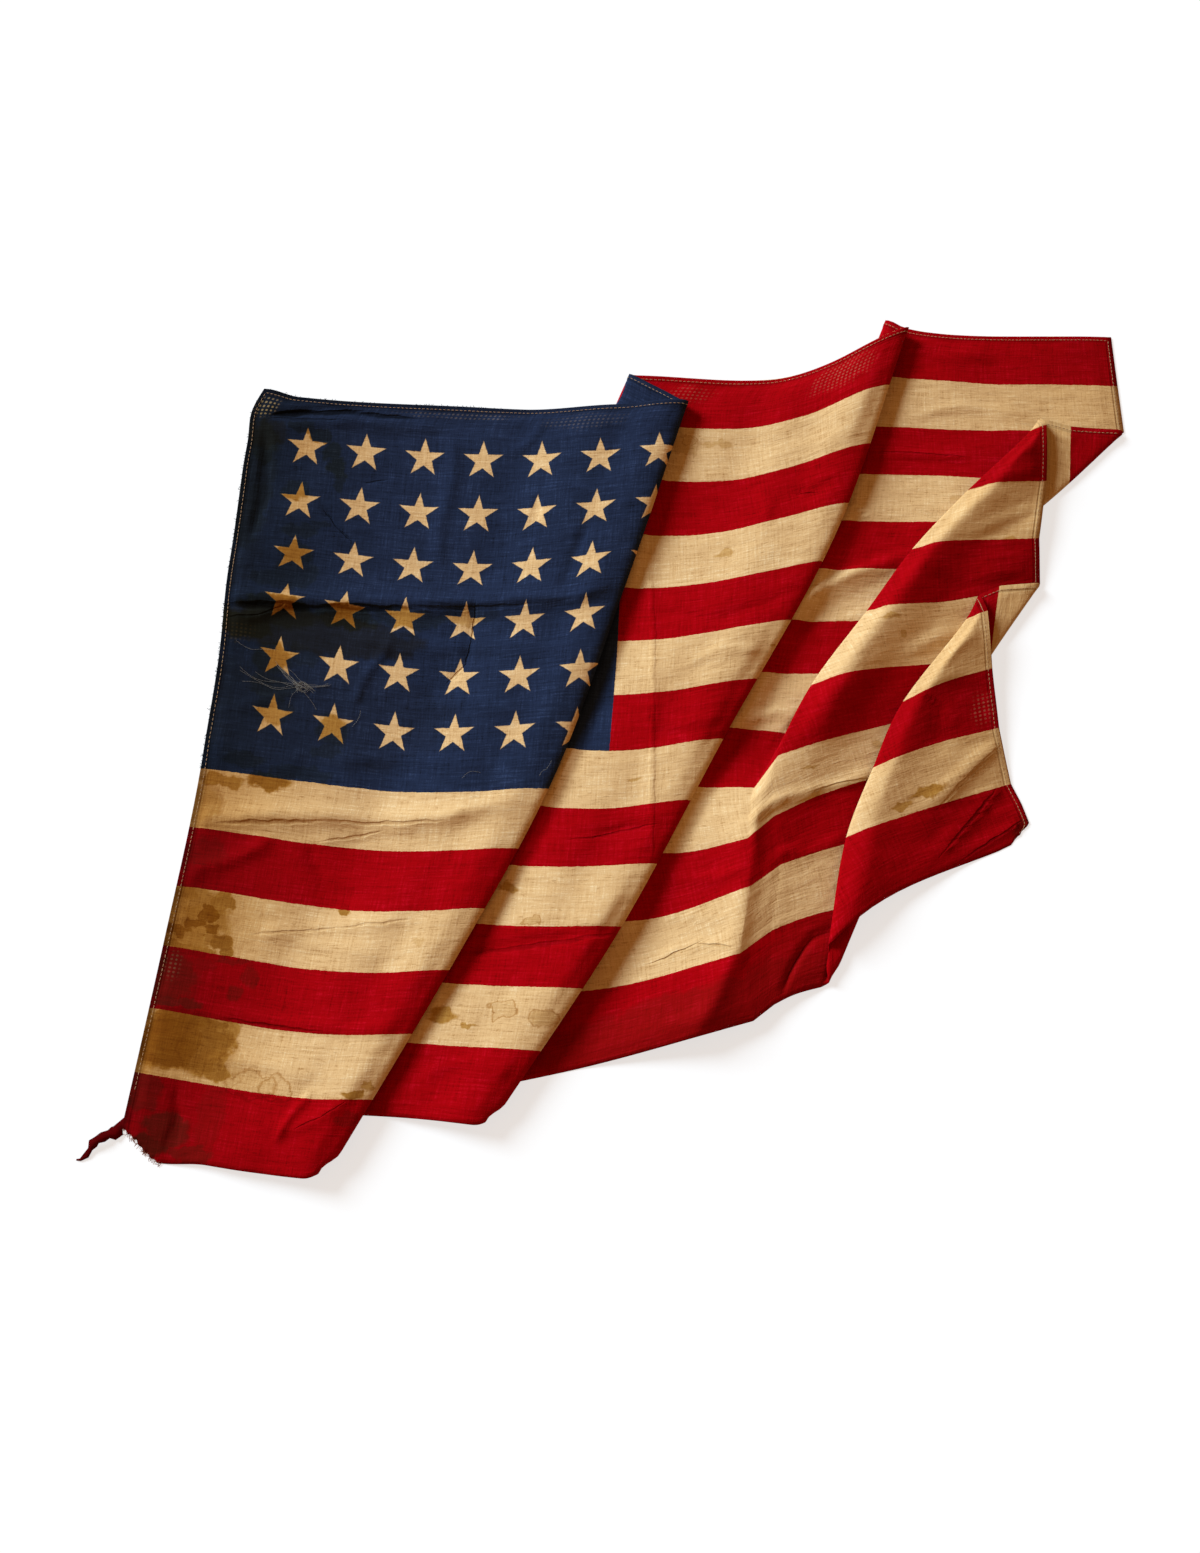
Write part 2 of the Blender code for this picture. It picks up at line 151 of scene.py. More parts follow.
# A row for each layer of a section, from the hoist: the line that it ends on, the slack
# line that it passes, the fold beneath it that it climbs over and the side of that fold on
# which the pile lies (+1 right, -1 left), whether it is tucked inside, and its spans.
LAYERS = (
    # ends on, slack line, climbs over, side, tucked, spans
    ("fold A", "slack 1", "fold B", +1, False, 90),
    ("fold B", None, None, 0, True, 3),
    ("fold C", "slack 3", "fold D", +1, False, 48),
    ("fold D", None, None, 0, True, 3),
    ("fold E", "slack 5", None, 0, False, 36),
    ("fold F", None, None, 0, True, 4),
    ("fold G", "slack 7", "fold E", -1, False, 20),
    ("fold H", None, None, 0, True, 4),
    ("fly", "slack 9", "fold G", -1, False, 14),
)
TURN_SPANS = 5            # spans around each fold
TURN_LEAN = math.radians(25)  # how steeply the cloth runs down into a fold and out of it

# Below stripe 8.5 the pleat E-F opens out, and the cloth runs on over one broad wave.
WAVE_HEIGHT = 0.016
WAVE_LEFT = 0.075         # width of its left flank
WAVE_RIGHT = 0.078        # width of its right flank
PLEAT_OPENS = (8.2, 9.4)  # stripes between which the pleat's layers close into the wave
PLEAT_ENDS = (7.9, 8.7)   # stripes between which its tucked layer becomes a mere slope
PLEAT_LAYERS = (4, 5, 6)  # the layers that the pleat joins into one
HOIST_PANEL = 0.34        # usual length of a thread in the first layer
FLY_PANEL = 0.10          # and in the last one

# Places at which the cloth is drawn sideways as it lies, in centimetres.
TUGS = (
    # along, down (in the flat cloth), reach along, reach down, moved right, moved up
    (6.0, 0.0, 12.0, 4.4, 0.0, -0.35),
    (0.3, 0.0, 2.8, 2.0, 0.15, 0.40),
    (0.0, 2.6, 4.0, 4.6, 0.12, 0.0),
    (0.0, 23.0, 5.0, 8.0, 0.25, 0.0),
    (16.4, 60.7, 2.4, 1.8, -0.55, 0.60),
    (37.0, 60.7, 2.2, 1.6, -0.50, 0.50),
    (68.4, 60.7, 1.8, 1.5, -0.30, 0.30),
    (88.5, 60.7, 1.6, 1.6, -0.45, 0.35),
    (2.9, 60.7, 4.0, 3.0, 0.10, -0.45),
)

ROWS = 154                # spans from the top edge to the bottom edge
START_GAP = 0.05          # stripes below its start at which a fold is turned right over
HEM_STATIONS = (0.0012, 0.0035, 0.0050, 0.0062)  # extra rows and columns that shape a hem

# ---- creases that are modelled ---------------------------------------------------------
# Parts of a route that a narrow and a broad ridge share.
ACROSS_CANTON = ((4.0, 18.3), (8.5, 17.9), (13.0, 17.2), (18.0, 16.8), (24.0, 16.6))
ACROSS_STRIPES = ((6.0, 35.1), (8.5, 34.8), (12.0, 34.5), (16.0, 34.4), (19.0, 34.2))

# A row for each ridge (height above 0) or trough (below 0): the width of the flank on the left
# and on the right as one goes along it and its height, all in millimetres, how sharp its crest
# is from 0 to 1, and its route on the flat cloth as (along, down) in centimetres.
CREASES = (
    # left, right, height, sharp, route
    # across the canton
    (32, 18, 5.6, 1.0, ((-1.0, 18.7), *ACROSS_CANTON, (28.0, 16.9), (31.5, 16.3), (34.0, 16.0))),
    (20, 22, 2.0, 1.0, ((-3.0, 18.8), *ACROSS_CANTON)),
    (6, 9, 2.8, 1.0, ((-0.5, 20.4), (2.0, 20.2), (3.2, 19.7), (4.5, 18.9), (6.0, 18.2))),
    (5, 5, -2.4, 1.0, ((19.8, 16.4), (19.9, 18.5), (19.8, 20.5), (19.5, 22.0), (18.2, 23.6))),
    (5, 5, -2.0, 1.0, ((6.6, 9.3), (7.5, 10.3), (8.3, 11.2), (9.8, 12.5))),
    (5, 6, -3.4, 0.6, ((1.8, 1.9), (3.5, 1.7), (4.5, 1.3), (6.0, 0.8), (8.0, 1.0), (10.0, 1.4))),
    (6, 13, 2.8, 0.6, ((2.0, 3.1), (5.0, 2.4), (8.0, 1.9), (13.0, 1.8), (16.0, 2.0))),
    (4, 5, -1.8, 0.8, ((15.5, 1.5), (19.0, 1.7), (23.0, 1.9))),
    (8, 9, -2.8, 0.2, ((1.2, 3.0), (1.8, 6.0), (2.0, 9.0), (1.3, 13.0))),
    (5, 5, -1.5, 0.8, ((9.2, 7.5), (10.6, 6.8), (12.2, 6.5))),
    (6, 5, 2.1, 0.8, ((13.3, 20.0), (13.4, 21.2), (12.4, 22.6), (11.8, 23.8), (11.0, 26.2))),
    (16, 12, 2.6, 0.6, ((-0.5, 29.6), (2.0, 30.5), (4.0, 30.9), (8.0, 31.2))),
    (8, 8, 1.8, 0.8, ((-0.5, 27.8), (2.5, 27.2), (5.0, 26.2), (7.5, 25.0))),
    (5, 5, -1.7, 0.7, ((28.4, 10.0), (27.4, 12.8), (26.7, 16.0))),
    (5, 5, 2.0, 0.9, ((23.9, 0.9), (23.2, 2.6), (22.4, 3.5), (20.6, 4.1))),
    (4, 5, -1.7, 0.8, ((24.2, 7.0), (24.0, 8.6), (23.6, 10.8))),
    (8, 7, 1.5, 0.6, ((24.5, 6.6), (27.0, 7.3), (30.0, 8.0))),
    (10, 12, 2.1, 0.3, ((16.5, 2.5), (17.0, 6.0), (16.2, 10.5), (16.6, 14.0))),
    (12, 10, 2.0, 0.3, ((9.6, 20.4), (15.0, 21.0), (21.0, 20.2), (27.0, 21.5))),
    (9, 9, 2.0, 0.4, ((15.5, 25.5), (20.0, 25.0), (25.0, 26.2))),
    (10, 9, 1.8, 0.3, ((10.0, 30.2), (16.0, 29.6), (22.0, 30.2))),
    # across the hoist's stripes
    (18, 17, 5.0, 1.0, ((-1.0, 36.3), (3.5, 35.6), *ACROSS_STRIPES, (21.0, 33.8), (25.0, 33.0))),
    (12, 19, 1.8, 1.0, ((2.0, 35.9), *ACROSS_STRIPES, (23.0, 33.4))),
    (5, 5, 2.1, 0.9, ((9.5, 36.6), (12.5, 35.8), (14.5, 35.3), (18.0, 34.9))),
    (14, 11, 3.2, 0.9, ((0.5, 40.4), (3.0, 39.3), (5.0, 38.2), (6.6, 36.8))),
    (10, 10, -2.2, 0.4, ((9.0, 37.0), (11.0, 39.5), (14.0, 41.0))),
    (9, 9, 2.1, 0.8, ((6.5, 44.0), (10.0, 43.2), (13.0, 42.6), (18.0, 41.9))),
    (9, 8, 1.8, 0.8, ((7.0, 43.8), (13.0, 44.3), (17.0, 45.0))),
    (9, 5, 3.8, 1.0, ((3.5, 50.4), (8.0, 50.1), (12.0, 50.1), (15.0, 50.3), (19.5, 50.3))),
    (10, 10, 1.8, 0.5, ((5.0, 53.4), (9.0, 53.2), (14.0, 53.6))),
    (7, 7, 2.4, 0.8, ((11.5, 58.5), (12.3, 56.4), (13.4, 54.9))),
    (7, 7, 2.0, 0.8, ((9.0, 56.2), (10.3, 57.4), (12.5, 57.5), (14.5, 56.5), (16.2, 55.4))),
    (9, 8, -2.2, 0.5, ((3.2, 55.8), (4.0, 58.0), (3.4, 60.4))),
    # the second panel
    (10, 42, 3.6, 0.2, ((47.0, 1.5), (44.4, 8.5), (42.3, 14.5), (41.0, 20.5), (39.2, 27.0),
     (37.6, 33.0), (35.0, 39.5), (32.0, 46.5), (29.2, 54.0), (27.5, 60.0))),
    (8, 13, 1.2, 1.0, ((42.5, 12.5), (43.2, 18.5), (43.6, 23.0), (43.9, 28.0), (44.0, 32.0),
     (44.2, 36.5), (44.7, 42.5))),
    (32, 34, 2.6, 0.1, ((55.0, -1.0), (54.0, 7.0), (52.5, 14.0), (50.5, 20.0), (47.5, 30.0))),
    (5, 6, 2.2, 0.9, ((52.4, 10.3), (52.8, 11.9), (52.6, 13.6))),
    (5, 5, -2.2, 0.8, ((54.6, 11.4), (56.3, 12.3), (57.8, 11.9), (60.0, 12.4))),
    (8, 6, -1.8, 0.5, ((43.5, 20.6), (49.0, 21.9), (54.5, 21.1))),
    (6, 5, -2.1, 0.8, ((43.8, 30.8), (46.5, 31.3), (48.5, 31.4), (51.5, 30.8))),
    (5, 5, -2.0, 0.8, ((40.2, 39.0), (42.5, 38.4), (44.6, 38.7))),
    (9, 6, -3.4, 1.0, ((30.5, 48.4), (34.0, 47.7), (37.0, 47.1), (40.0, 46.7), (43.5, 46.4))),
    (9, 9, 1.7, 0.5, ((30.0, 57.5), (33.0, 56.4), (37.5, 57.0))),
    (6, 6, 1.7, 0.7, ((46.0, 25.6), (49.0, 24.6), (53.0, 25.8))),
    # the third panel above the wave
    (16, 60, 6.2, 0.1, ((68.2, 2.0), (66.4, 10.0), (65.4, 16.0), (64.8, 22.0), (63.4, 29.0),
     (61.3, 35.0), (58.0, 41.0), (53.5, 47.5), (48.0, 54.0))),
    (11, 15, 4.0, 0.5, ((63.0, 26.4), (64.6, 25.3), (66.0, 24.2), (67.5, 23.2), (71.0, 21.8))),
    (15, 12, -2.6, 0.2, ((64.5, 28.4), (66.5, 26.9), (68.5, 25.6), (71.0, 24.2))),
    (6, 6, 2.5, 0.8, ((65.5, 15.8), (66.2, 17.2), (67.6, 18.3))),
    (5, 5, -2.2, 0.8, ((71.2, 17.3), (72.3, 17.8), (73.4, 18.9))),
    (7, 5, 2.9, 1.0, ((66.2, 11.6), (70.0, 11.8), (75.5, 11.9))),
    (8, 8, 2.2, 0.6, ((68.5, 1.7), (73.0, 2.2), (78.0, 1.8))),
    (7, 7, 2.0, 0.7, ((71.0, 8.0), (75.0, 7.0), (80.0, 7.6))),
    (9, 7, 2.5, 0.8, ((61.5, 36.0), (63.6, 35.3), (65.5, 36.2))),
    # the roll along fold F, and the fly's first corner
    (38, 24, 6.0, 0.6, ((88.6, 17.2), (86.5, 20.5), (84.6, 22.8), (82.6, 25.0), (81.0, 26.8),
     (79.3, 28.8), (77.8, 30.4), (76.0, 32.2), (74.0, 34.2), (72.5, 36.0), (70.8, 38.0),
     (69.2, 40.0), (67.6, 42.0))),
    (5, 5, 2.2, 0.9, ((82.0, 23.2), (84.0, 22.3), (86.0, 22.5), (88.0, 21.9))),
    (5, 5, 1.8, 0.9, ((83.6, 21.6), (85.4, 20.9), (87.6, 20.4))),
    (5, 6, 2.0, 0.9, ((83.0, 26.8), (86.0, 25.6), (88.4, 24.8))),
    (8, 6, -2.0, 0.6, ((79.0, 30.0), (82.5, 31.2), (88.0, 31.6))),
    (9, 8, 2.0, 0.5, ((76.5, 36.0), (80.0, 34.6), (82.5, 34.9))),
    # the wave, and what ripples over it
    (14, 30, 3.0, 0.8, ((62.3, 43.0), (61.8, 46.0), (61.2, 48.5), (60.6, 50.6), (59.8, 53.0),
     (58.9, 55.2), (57.8, 57.0), (56.3, 61.0))),
    (11, 5, 3.6, 0.9, ((61.3, 44.6), (64.5, 45.0), (67.0, 45.4), (70.0, 45.8), (73.0, 45.4))),
    (5, 5, 2.7, 1.0, ((52.8, 53.9), (55.0, 53.4), (56.5, 53.8), (58.6, 54.7))),
    (5, 5, 2.1, 1.0, ((54.0, 50.7), (56.0, 51.2), (58.0, 52.2))),
    (6, 6, -3.4, 0.8, ((63.0, 61.0), (63.6, 58.9), (64.5, 57.6), (65.4, 56.8), (67.5, 56.6))),
    (9, 9, 2.0, 0.5, ((55.0, 47.2), (58.5, 48.8), (61.0, 48.6))),
    (9, 8, 2.1, 0.5, ((63.0, 49.4), (66.0, 50.4), (69.0, 50.0))),
    # the last panel
    (26, 12, 3.6, 0.6, ((88.0, 41.0), (84.6, 44.6), (82.2, 46.9), (80.4, 49.2), (78.6, 51.7),
     (76.6, 54.2), (74.6, 57.2), (72.6, 60.7))),
    (8, 10, 4.4, 0.9, ((82.2, 55.2), (84.5, 53.6), (86.5, 52.5), (89.0, 51.5))),
    (7, 6, 4.0, 1.0, ((80.5, 59.4), (83.5, 57.6), (85.5, 56.3), (87.6, 54.8))),
    (7, 6, 3.4, 1.0, ((82.0, 60.0), (85.0, 59.7), (88.5, 58.3))),
    (6, 6, 2.8, 0.9, ((85.5, 56.2), (86.6, 57.6), (88.3, 58.0))),
    (8, 7, -2.2, 0.6, ((81.5, 43.9), (84.0, 48.0), (83.0, 52.0))),
    (7, 9, 2.4, 0.8, ((78.6, 47.6), (81.5, 46.2), (84.5, 44.0), (87.6, 42.8))),
    (8, 8, 2.2, 0.8, ((79.8, 57.6), (81.0, 55.6), (83.4, 53.4))),
)
CREASE_FADES = 0.15       # share of a crease's length over which it dies away at each end
CREASE_END = 0.2          # share of its height that is left at its ends
LOFT = 0.0016             # how far the cloth stands off the surface between its creases
UNEVEN = 0.0016           # how uneven it lies
UNEVEN_SIZES = (0.10, 0.04)  # width of its broad and of its small bumps
RELIEF_LIMITS = (-0.0020, 0.0096)
EDGE_LIES = 0.014         # width along the edges over which the cloth lies down
RIM_CLEAR = 0.010         # how far from a fold the relief of a layer that lies on top starts
LAP_LAYERS = (2, 4)       # the layers that come out from under another one
LAP_HIDES = 0.05          # share of their way that is hidden
LAP_CLEAR = 0.2           # and over which their relief then starts
RELIEF_ENDS = 0.08        # share of a layer's way over which its relief ends before a fold

# ---- the torn corner -------------------------------------------------------------------
# The bottom edge near the hoist: how far along, and how far down the cloth still reaches.
TEAR = (
    # along, down in cm
    (0.0, 59.15), (0.3, 59.2), (0.5, 59.45), (0.7, 59.4), (0.95, 59.65), (1.2, 59.6),
    (1.35, 59.95), (1.6, 59.95), (1.8, 60.25), (2.1, 60.25), (2.35, 60.5), (2.6, 60.5),
    (2.9, 60.68), (3.3, 60.72),
)
TEAR_FROM = 56.5          # cm down, above which the cloth isn't drawn up
TEAR_COLUMNS = tuple(np.arange(0.3, 7.3, 0.3) * CM)
STRIP_ROOT = (58.5, 59.15)  # cm down the hoist edge between which the torn strip hangs on
STRIP_STEP = 0.2          # cm of the flat cloth that each of its rows takes up
STRIP_SHOWS = (0.001, 0.004)  # how far from the hoist its two edges lie on the flat cloth
STRIP_THICK = 0.4         # its thickness, from the cloth's at 0 to a hem's at 1
TORN_STRIP = (
    # left, down, width, height in cm
    (0.3, 0.55, 0.95, 0.10),
    (0.6, 0.75, 1.00, 0.20),
    (0.9, 0.80, 0.60, 0.30),
    (1.3, 1.00, 0.75, 0.35),
    (1.7, 1.20, 0.55, 0.40),
    (2.0, 1.45, 0.75, 0.30),
    (2.2, 1.85, 0.35, 0.20),
    (2.5, 2.30, 0.45, 0.10),
    (2.9, 2.60, 0.20, 0.06),
    (3.2, 2.60, 0.12, 0.05),
)


# ======================================================================================
# The sheet's folds
# ======================================================================================

def smooth_step(t):
    """Rise from 0 to 1 with level ends."""
    t = np.clip(t, 0.0, 1.0)
    return t * t * (3.0 - 2.0 * t)


def past(stripes, limits):
    """Rise from 0 to 1 between two limits."""
    return smooth_step((stripes - limits[0]) / (limits[1] - limits[0]))


def between(a, b, slope_a, slope_b, t):
    """Places between a and b, for t from 0 to 1, on a curve with those slopes at its ends."""
    return (a * (2 * t ** 3 - 3 * t ** 2 + 1) + b * (3 * t ** 2 - 2 * t ** 3)
            + slope_a * (t ** 3 - 2 * t ** 2 + t) + slope_b * (t ** 3 - t ** 2))


def line_at(name, stripes):
    """Places in metres on a line. Before its start a fold lies on the fly edge."""
    knots = np.array(LINES[name][0], float)
    places = np.array(LINES[name][1:], float).T * CM
    stripes = np.asarray(stripes, float)
    if name == "fly":
        return np.stack([np.interp(stripes, knots, p) for p in places.T], axis=-1)
    slopes = np.gradient(places, knots, axis=0)
    i = np.clip(np.searchsorted(knots, stripes, side="right") - 1, 0, len(knots) - 2)
    span = knots[i + 1] - knots[i]
    t = np.clip((stripes - knots[i]) / span, 0.0, 1.0)[..., None]
    span = span[..., None]
    out = between(places[i], places[i + 1], slopes[i] * span, slopes[i + 1] * span, t)
    if knots[0] > 0 and name != "wave crest":
        out = np.where((stripes < knots[0])[..., None], line_at("fly", stripes), out)
    return out


def distance_from(name, points):
    """Distance of points from a line, positive on its right as seen from the bottom edge."""
    route = line_at(name, np.linspace(LINES[name][0][0], HOIST_STRIPES, ROUTE_POINTS))
    ahead, behind = route[0] - route[1], route[-1] - route[-2]
    route = np.vstack([route[0] + ahead / np.linalg.norm(ahead) * RUN_ON, route,
                       route[-1] + behind / np.linalg.norm(behind) * RUN_ON])
    start, run = route[:-1], np.diff(route, axis=0)
    gap = points[..., None, :] - start
    along = np.clip((gap * run).sum(-1) / (run * run).sum(-1), 0.0, 1.0)
    off = gap - along[..., None] * run
    size = np.sqrt((off * off).sum(-1))
    nearest = size.argmin(-1)
    side = np.take_along_axis(run[:, 0] * gap[..., 1] - run[:, 1] * gap[..., 0],
                              nearest[..., None], -1)[..., 0]
    return np.take_along_axis(size, nearest[..., None], -1)[..., 0] * np.sign(side)


def wave_height(points):
    """Height of the broad wave that the pleat E-F opens into. Its left flank is hollow."""
    off = distance_from("wave crest", points)
    flank = np.where(off < 0, -off / WAVE_LEFT, off / WAVE_RIGHT)
    rise = np.clip(1.0 - flank, 0.0, 1.0)
    return WAVE_HEIGHT * np.where(off < 0, rise * rise * (1.6 - 0.6 * rise), rise)


def layer_path(start, slack, end, share):
    """Places along one thread of a layer, at shares 0 to 1 of its way, by its slack line."""
    share = share[:, None]
    if slack is None:
        return start + (end - start) * share
    before, after = np.linalg.norm(slack - start), np.linalg.norm(end - slack)
    at = np.clip(before / max(before + after, 1e-9), *BENDS_WITHIN)
    enter, leave = (slack - start) / at, (end - slack) / (1 - at)
    through = enter * (1 - at) + leave * at
    first = share < at
    t = np.where(first, share / at, (share - at) / (1 - at))
    span = np.where(first, at, 1 - at)
    a, b = np.where(first, start, slack), np.where(first, slack, end)
    slope_a, slope_b = np.where(first, enter, through), np.where(first, through, leave)
    return between(a, b, slope_a * span, slope_b * span, t)


def resting_height(i, points, stripes):
    """Height of a layer that isn't tucked, from what it lies on."""
    end_line, _, under, side = LAYERS[i][:4]
    opened = past(stripes, PLEAT_OPENS)
    height = np.full(points.shape[:-1], LAY)
    if under:
        pile = smooth_step(1.0 + side * distance_from(under, points) / RAMP)
        rim = LAYERS[i - 1][0] if side < 0 else end_line
        back = np.abs(distance_from(rim, points))
        swell = smooth_step(1.0 - np.abs(back - CREST_BACK) / CREST_BAND)
        lift = (OVER - LAY) * pile + (CREST - OVER) * swell
        height = height + lift * ((1 - opened) if under == "fold E" else 1.0)
    if end_line in ("fold E", "fold G"):
        height = height + opened * wave_height(points)
    return height


def layer_height(i, points, stripes, share):
    """Height of a layer's middle. A tucked one lies between its two neighbours."""
    if not LAYERS[i][4]:
        return resting_height(i, points, stripes)
    around = [resting_height(j, points, stripes) for j in (i - 1, i + 1)]
    low, high = np.minimum(*around), np.maximum(*around)
    place = TUCK
    if LAYERS[i][0] == "fold F":
        ended = past(stripes, PLEAT_ENDS)
        place = TUCK * (1 - ended) + share * ended
    return low + (high - low) * place


def turn_points(enter, tip, leave, opened):
    """Points around a fold between the place where the cloth enters it and where it leaves.
    Where the fold has opened out they are only a stretch of the cloth."""
    angle = np.linspace(TURN_LEAN, math.pi - TURN_LEAN, TURN_SPANS + 1)[1:-1]
    foot = np.where((angle < math.pi / 2)[:, None], enter[:, None, :2], leave[:, None, :2])
    back = (1.0 - np.sin(angle)) / (1.0 - math.sin(TURN_LEAN))
    place = tip[:, None] + (foot - tip[:, None]) * back[:, None]
    stretch = np.where(angle < math.pi / 2, np.sin(angle), 2.0 - np.sin(angle)) / 2
    round_it = 0.5 - 0.5 * np.cos(angle) / math.cos(TURN_LEAN)
    mix = (round_it * (1 - opened) + stretch * opened)[..., None]
    height = enter[:, None, 2:] * (1 - mix) + leave[:, None, 2:] * mix
    return np.concatenate([place, height], axis=-1)


def layer_shares(i):
    """Shares of a layer's way at which it has columns, with more at the hoist's tear and hem."""
    shares = np.linspace(0.0, 1.0, LAYERS[i][5] + 1)
    if i == 0:
        shares = np.union1d(shares, np.array(TEAR_COLUMNS + HEM_STATIONS) / HOIST_PANEL)
    if i == len(LAYERS) - 1:
        shares = np.union1d(shares, 1.0 - np.array(HEM_STATIONS) / FLY_PANEL)
    return shares


def relief_share(i, share, width, opened):
    """How far a layer's relief shows: not where it is tucked away or turns over at a fold."""
    starts = np.ones((len(width), len(share)))
    if i in LAP_LAYERS:
        starts = starts * smooth_step((share - LAP_HIDES) / LAP_CLEAR)
    elif i:
        starts = smooth_step(share * width / RIM_CLEAR)
    ends = np.ones(starts.shape)
    if i < len(LAYERS) - 1:
        ends = ends * smooth_step((1.0 - share) / RELIEF_ENDS)
    if LAYERS[i][4]:
        ends = ends * 0.0
    if i in PLEAT_LAYERS[:2]:
        ends = ends * (1 - opened) + opened
    if i in PLEAT_LAYERS[1:]:
        starts = starts * (1 - opened) + opened
    return starts * ends


def sections(stripes):
    """The cloth's sections: places (row, column, xyz), lengths along them and how far the
    relief shows at each place."""
    tips = [line_at("hoist", stripes)] + [line_at(layer[0], stripes) for layer in LAYERS]
    widths = [np.linalg.norm(b - a, axis=-1) for a, b in zip(tips, tips[1:])]
    reach = [np.zeros(len(stripes))]
    for i in range(1, len(LAYERS)):
        narrower = np.minimum(widths[i - 1], widths[i])
        reach.append(np.minimum(FOLD_REACH, NARROW_REACH * narrower))
    reach.append(np.zeros(len(stripes)))

    opened = past(stripes, PLEAT_OPENS)[:, None]
    paths, shown = [], []
    before = None
    for i, (_, slack_name, *_) in enumerate(LAYERS):
        slack = line_at(slack_name, stripes) if slack_name else None
        length = np.maximum(widths[i], 1e-9)
        share = layer_shares(i)
        first, last = reach[i] / length, 1.0 - reach[i + 1] / length
        flat = []
        for r, stripe in enumerate(stripes):
            slack_here = slack[r] if slack_name and stripe >= LINES[slack_name][0][0] else None
            flat.append(layer_path(tips[i][r], slack_here, tips[i + 1][r],
                                   first[r] + (last[r] - first[r]) * share))
        flat = np.array(flat)
        height = layer_height(i, flat, stripes[:, None], share)
        if before is not None:
            step = np.maximum(np.abs(height[:, 0] - before), 1e-9)
            grown = np.clip(STEEPEST * widths[i] / step, 0.0, 1.0)[:, None]
            height = before[:, None] * (1 - grown) + height * grown
        before = height[:, -1]
        paths.append(np.concatenate([flat, height[..., None]], axis=-1))
        shown.append(relief_share(i, share, widths[i][:, None], opened))

    places, weight = paths[0], shown[0]
    for i in range(1, len(LAYERS)):
        joined = opened if i in PLEAT_LAYERS[1:] else 0.0 * opened
        arc = turn_points(paths[i - 1][:, -1], tips[i], paths[i][:, 0], joined)
        places = np.concatenate([places, arc, paths[i]], axis=1)
        weight = np.concatenate([weight, joined.repeat(arc.shape[1], axis=1), shown[i]], axis=1)
    steps = np.linalg.norm(np.diff(places, axis=1), axis=-1)
    lengths = np.concatenate([np.zeros((len(stripes), 1)), np.cumsum(steps, axis=1)], axis=1)
    return places, lengths, weight


def flat_lengths(lengths):
    """Distances along the flat cloth: true up to fold C, then evened out so that the fly
    edge is straight on the flat cloth."""
    third = sum(len(layer_shares(i)) for i in range(3)) + 2 * (TURN_SPANS - 1) - 1
    known = lengths[:, third:third + 1]
    rest = np.maximum(lengths[:, -1:] - known, 1e-9)
    return np.where(lengths <= known, lengths, known + (lengths - known) * (FLY - known) / rest)


def tug(places, along, down):
    """Draw the cloth sideways at the tugs."""
    for where, low, reach_along, reach_down, right, up in TUGS:
        gap = np.hypot((along - where * CM) / (reach_along * CM),
                       (down - low * CM) / (reach_down * CM))
        places[..., :2] += smooth_step(1.0 - gap)[..., None] * np.array((right, up)) * CM


def crease_height(left, right, height, sharp, route, along, down):
    """Relief of one crease over the flat cloth. It dies away towards its ends."""
    points = np.array(route, float) * CM
    runs = np.diff(points, axis=0)
    sizes = np.linalg.norm(runs, axis=1)
    total = sizes.sum()
    best = np.full(along.shape, 1e9)
    share, side = np.zeros(along.shape), np.zeros(along.shape)
    done = 0.0
    for start, run, size in zip(points, runs, sizes):
        x, y = along - start[0], down - start[1]
        t = np.clip((x * run[0] + y * run[1]) / size ** 2, 0, 1)
        gap = np.hypot(x - t * run[0], y - t * run[1])
        nearer = gap < best
        best = np.where(nearer, gap, best)
        share = np.where(nearer, (done + t * size) / total, share)
        side = np.where(nearer, run[0] * y - run[1] * x, side)
        done += size
    away = np.clip(1.0 - best / (np.where(side < 0, left, right) * MM), 0.0, 1.0)
    ends = smooth_step(share / CREASE_FADES) * smooth_step((1.0 - share) / CREASE_FADES)
    profile = smooth_step(away) * (1 - sharp) + away * away * sharp
    return height * MM * profile * (CREASE_END + (1 - CREASE_END) * ends)


def relief(along, down):
    """How far the cloth stands off its plain folds."""
    bumps = np.zeros(along.shape)
    for size in UNEVEN_SIZES:
        for place in np.ndindex(*along.shape):
            bumps[place] += noise.noise((along[place] / size, down[place] / size, size)) * size
    height = LOFT + UNEVEN * bumps / UNEVEN_SIZES[0] * 2.0
    for row in CREASES:
        height = height + crease_height(*row, along, down)
    return np.clip(height, *RELIEF_LIMITS)


def hem_share(along, down):
    """1 on a hem and 0 off it. The bottom edge is a selvedge and has none."""
    inside = np.minimum(np.minimum(along, FLY - along), down)
    return smooth_step((HEM_STATIONS[3] - inside) / (HEM_STATIONS[3] - HEM_STATIONS[2]))


def edge_share(along, down):
    """1 inside the cloth and 0 along its edges, where it lies down on what is beneath."""
    inside = np.minimum(np.minimum(along, FLY - along), np.minimum(down, DEEP - down))
    return smooth_step(inside / EDGE_LIES)


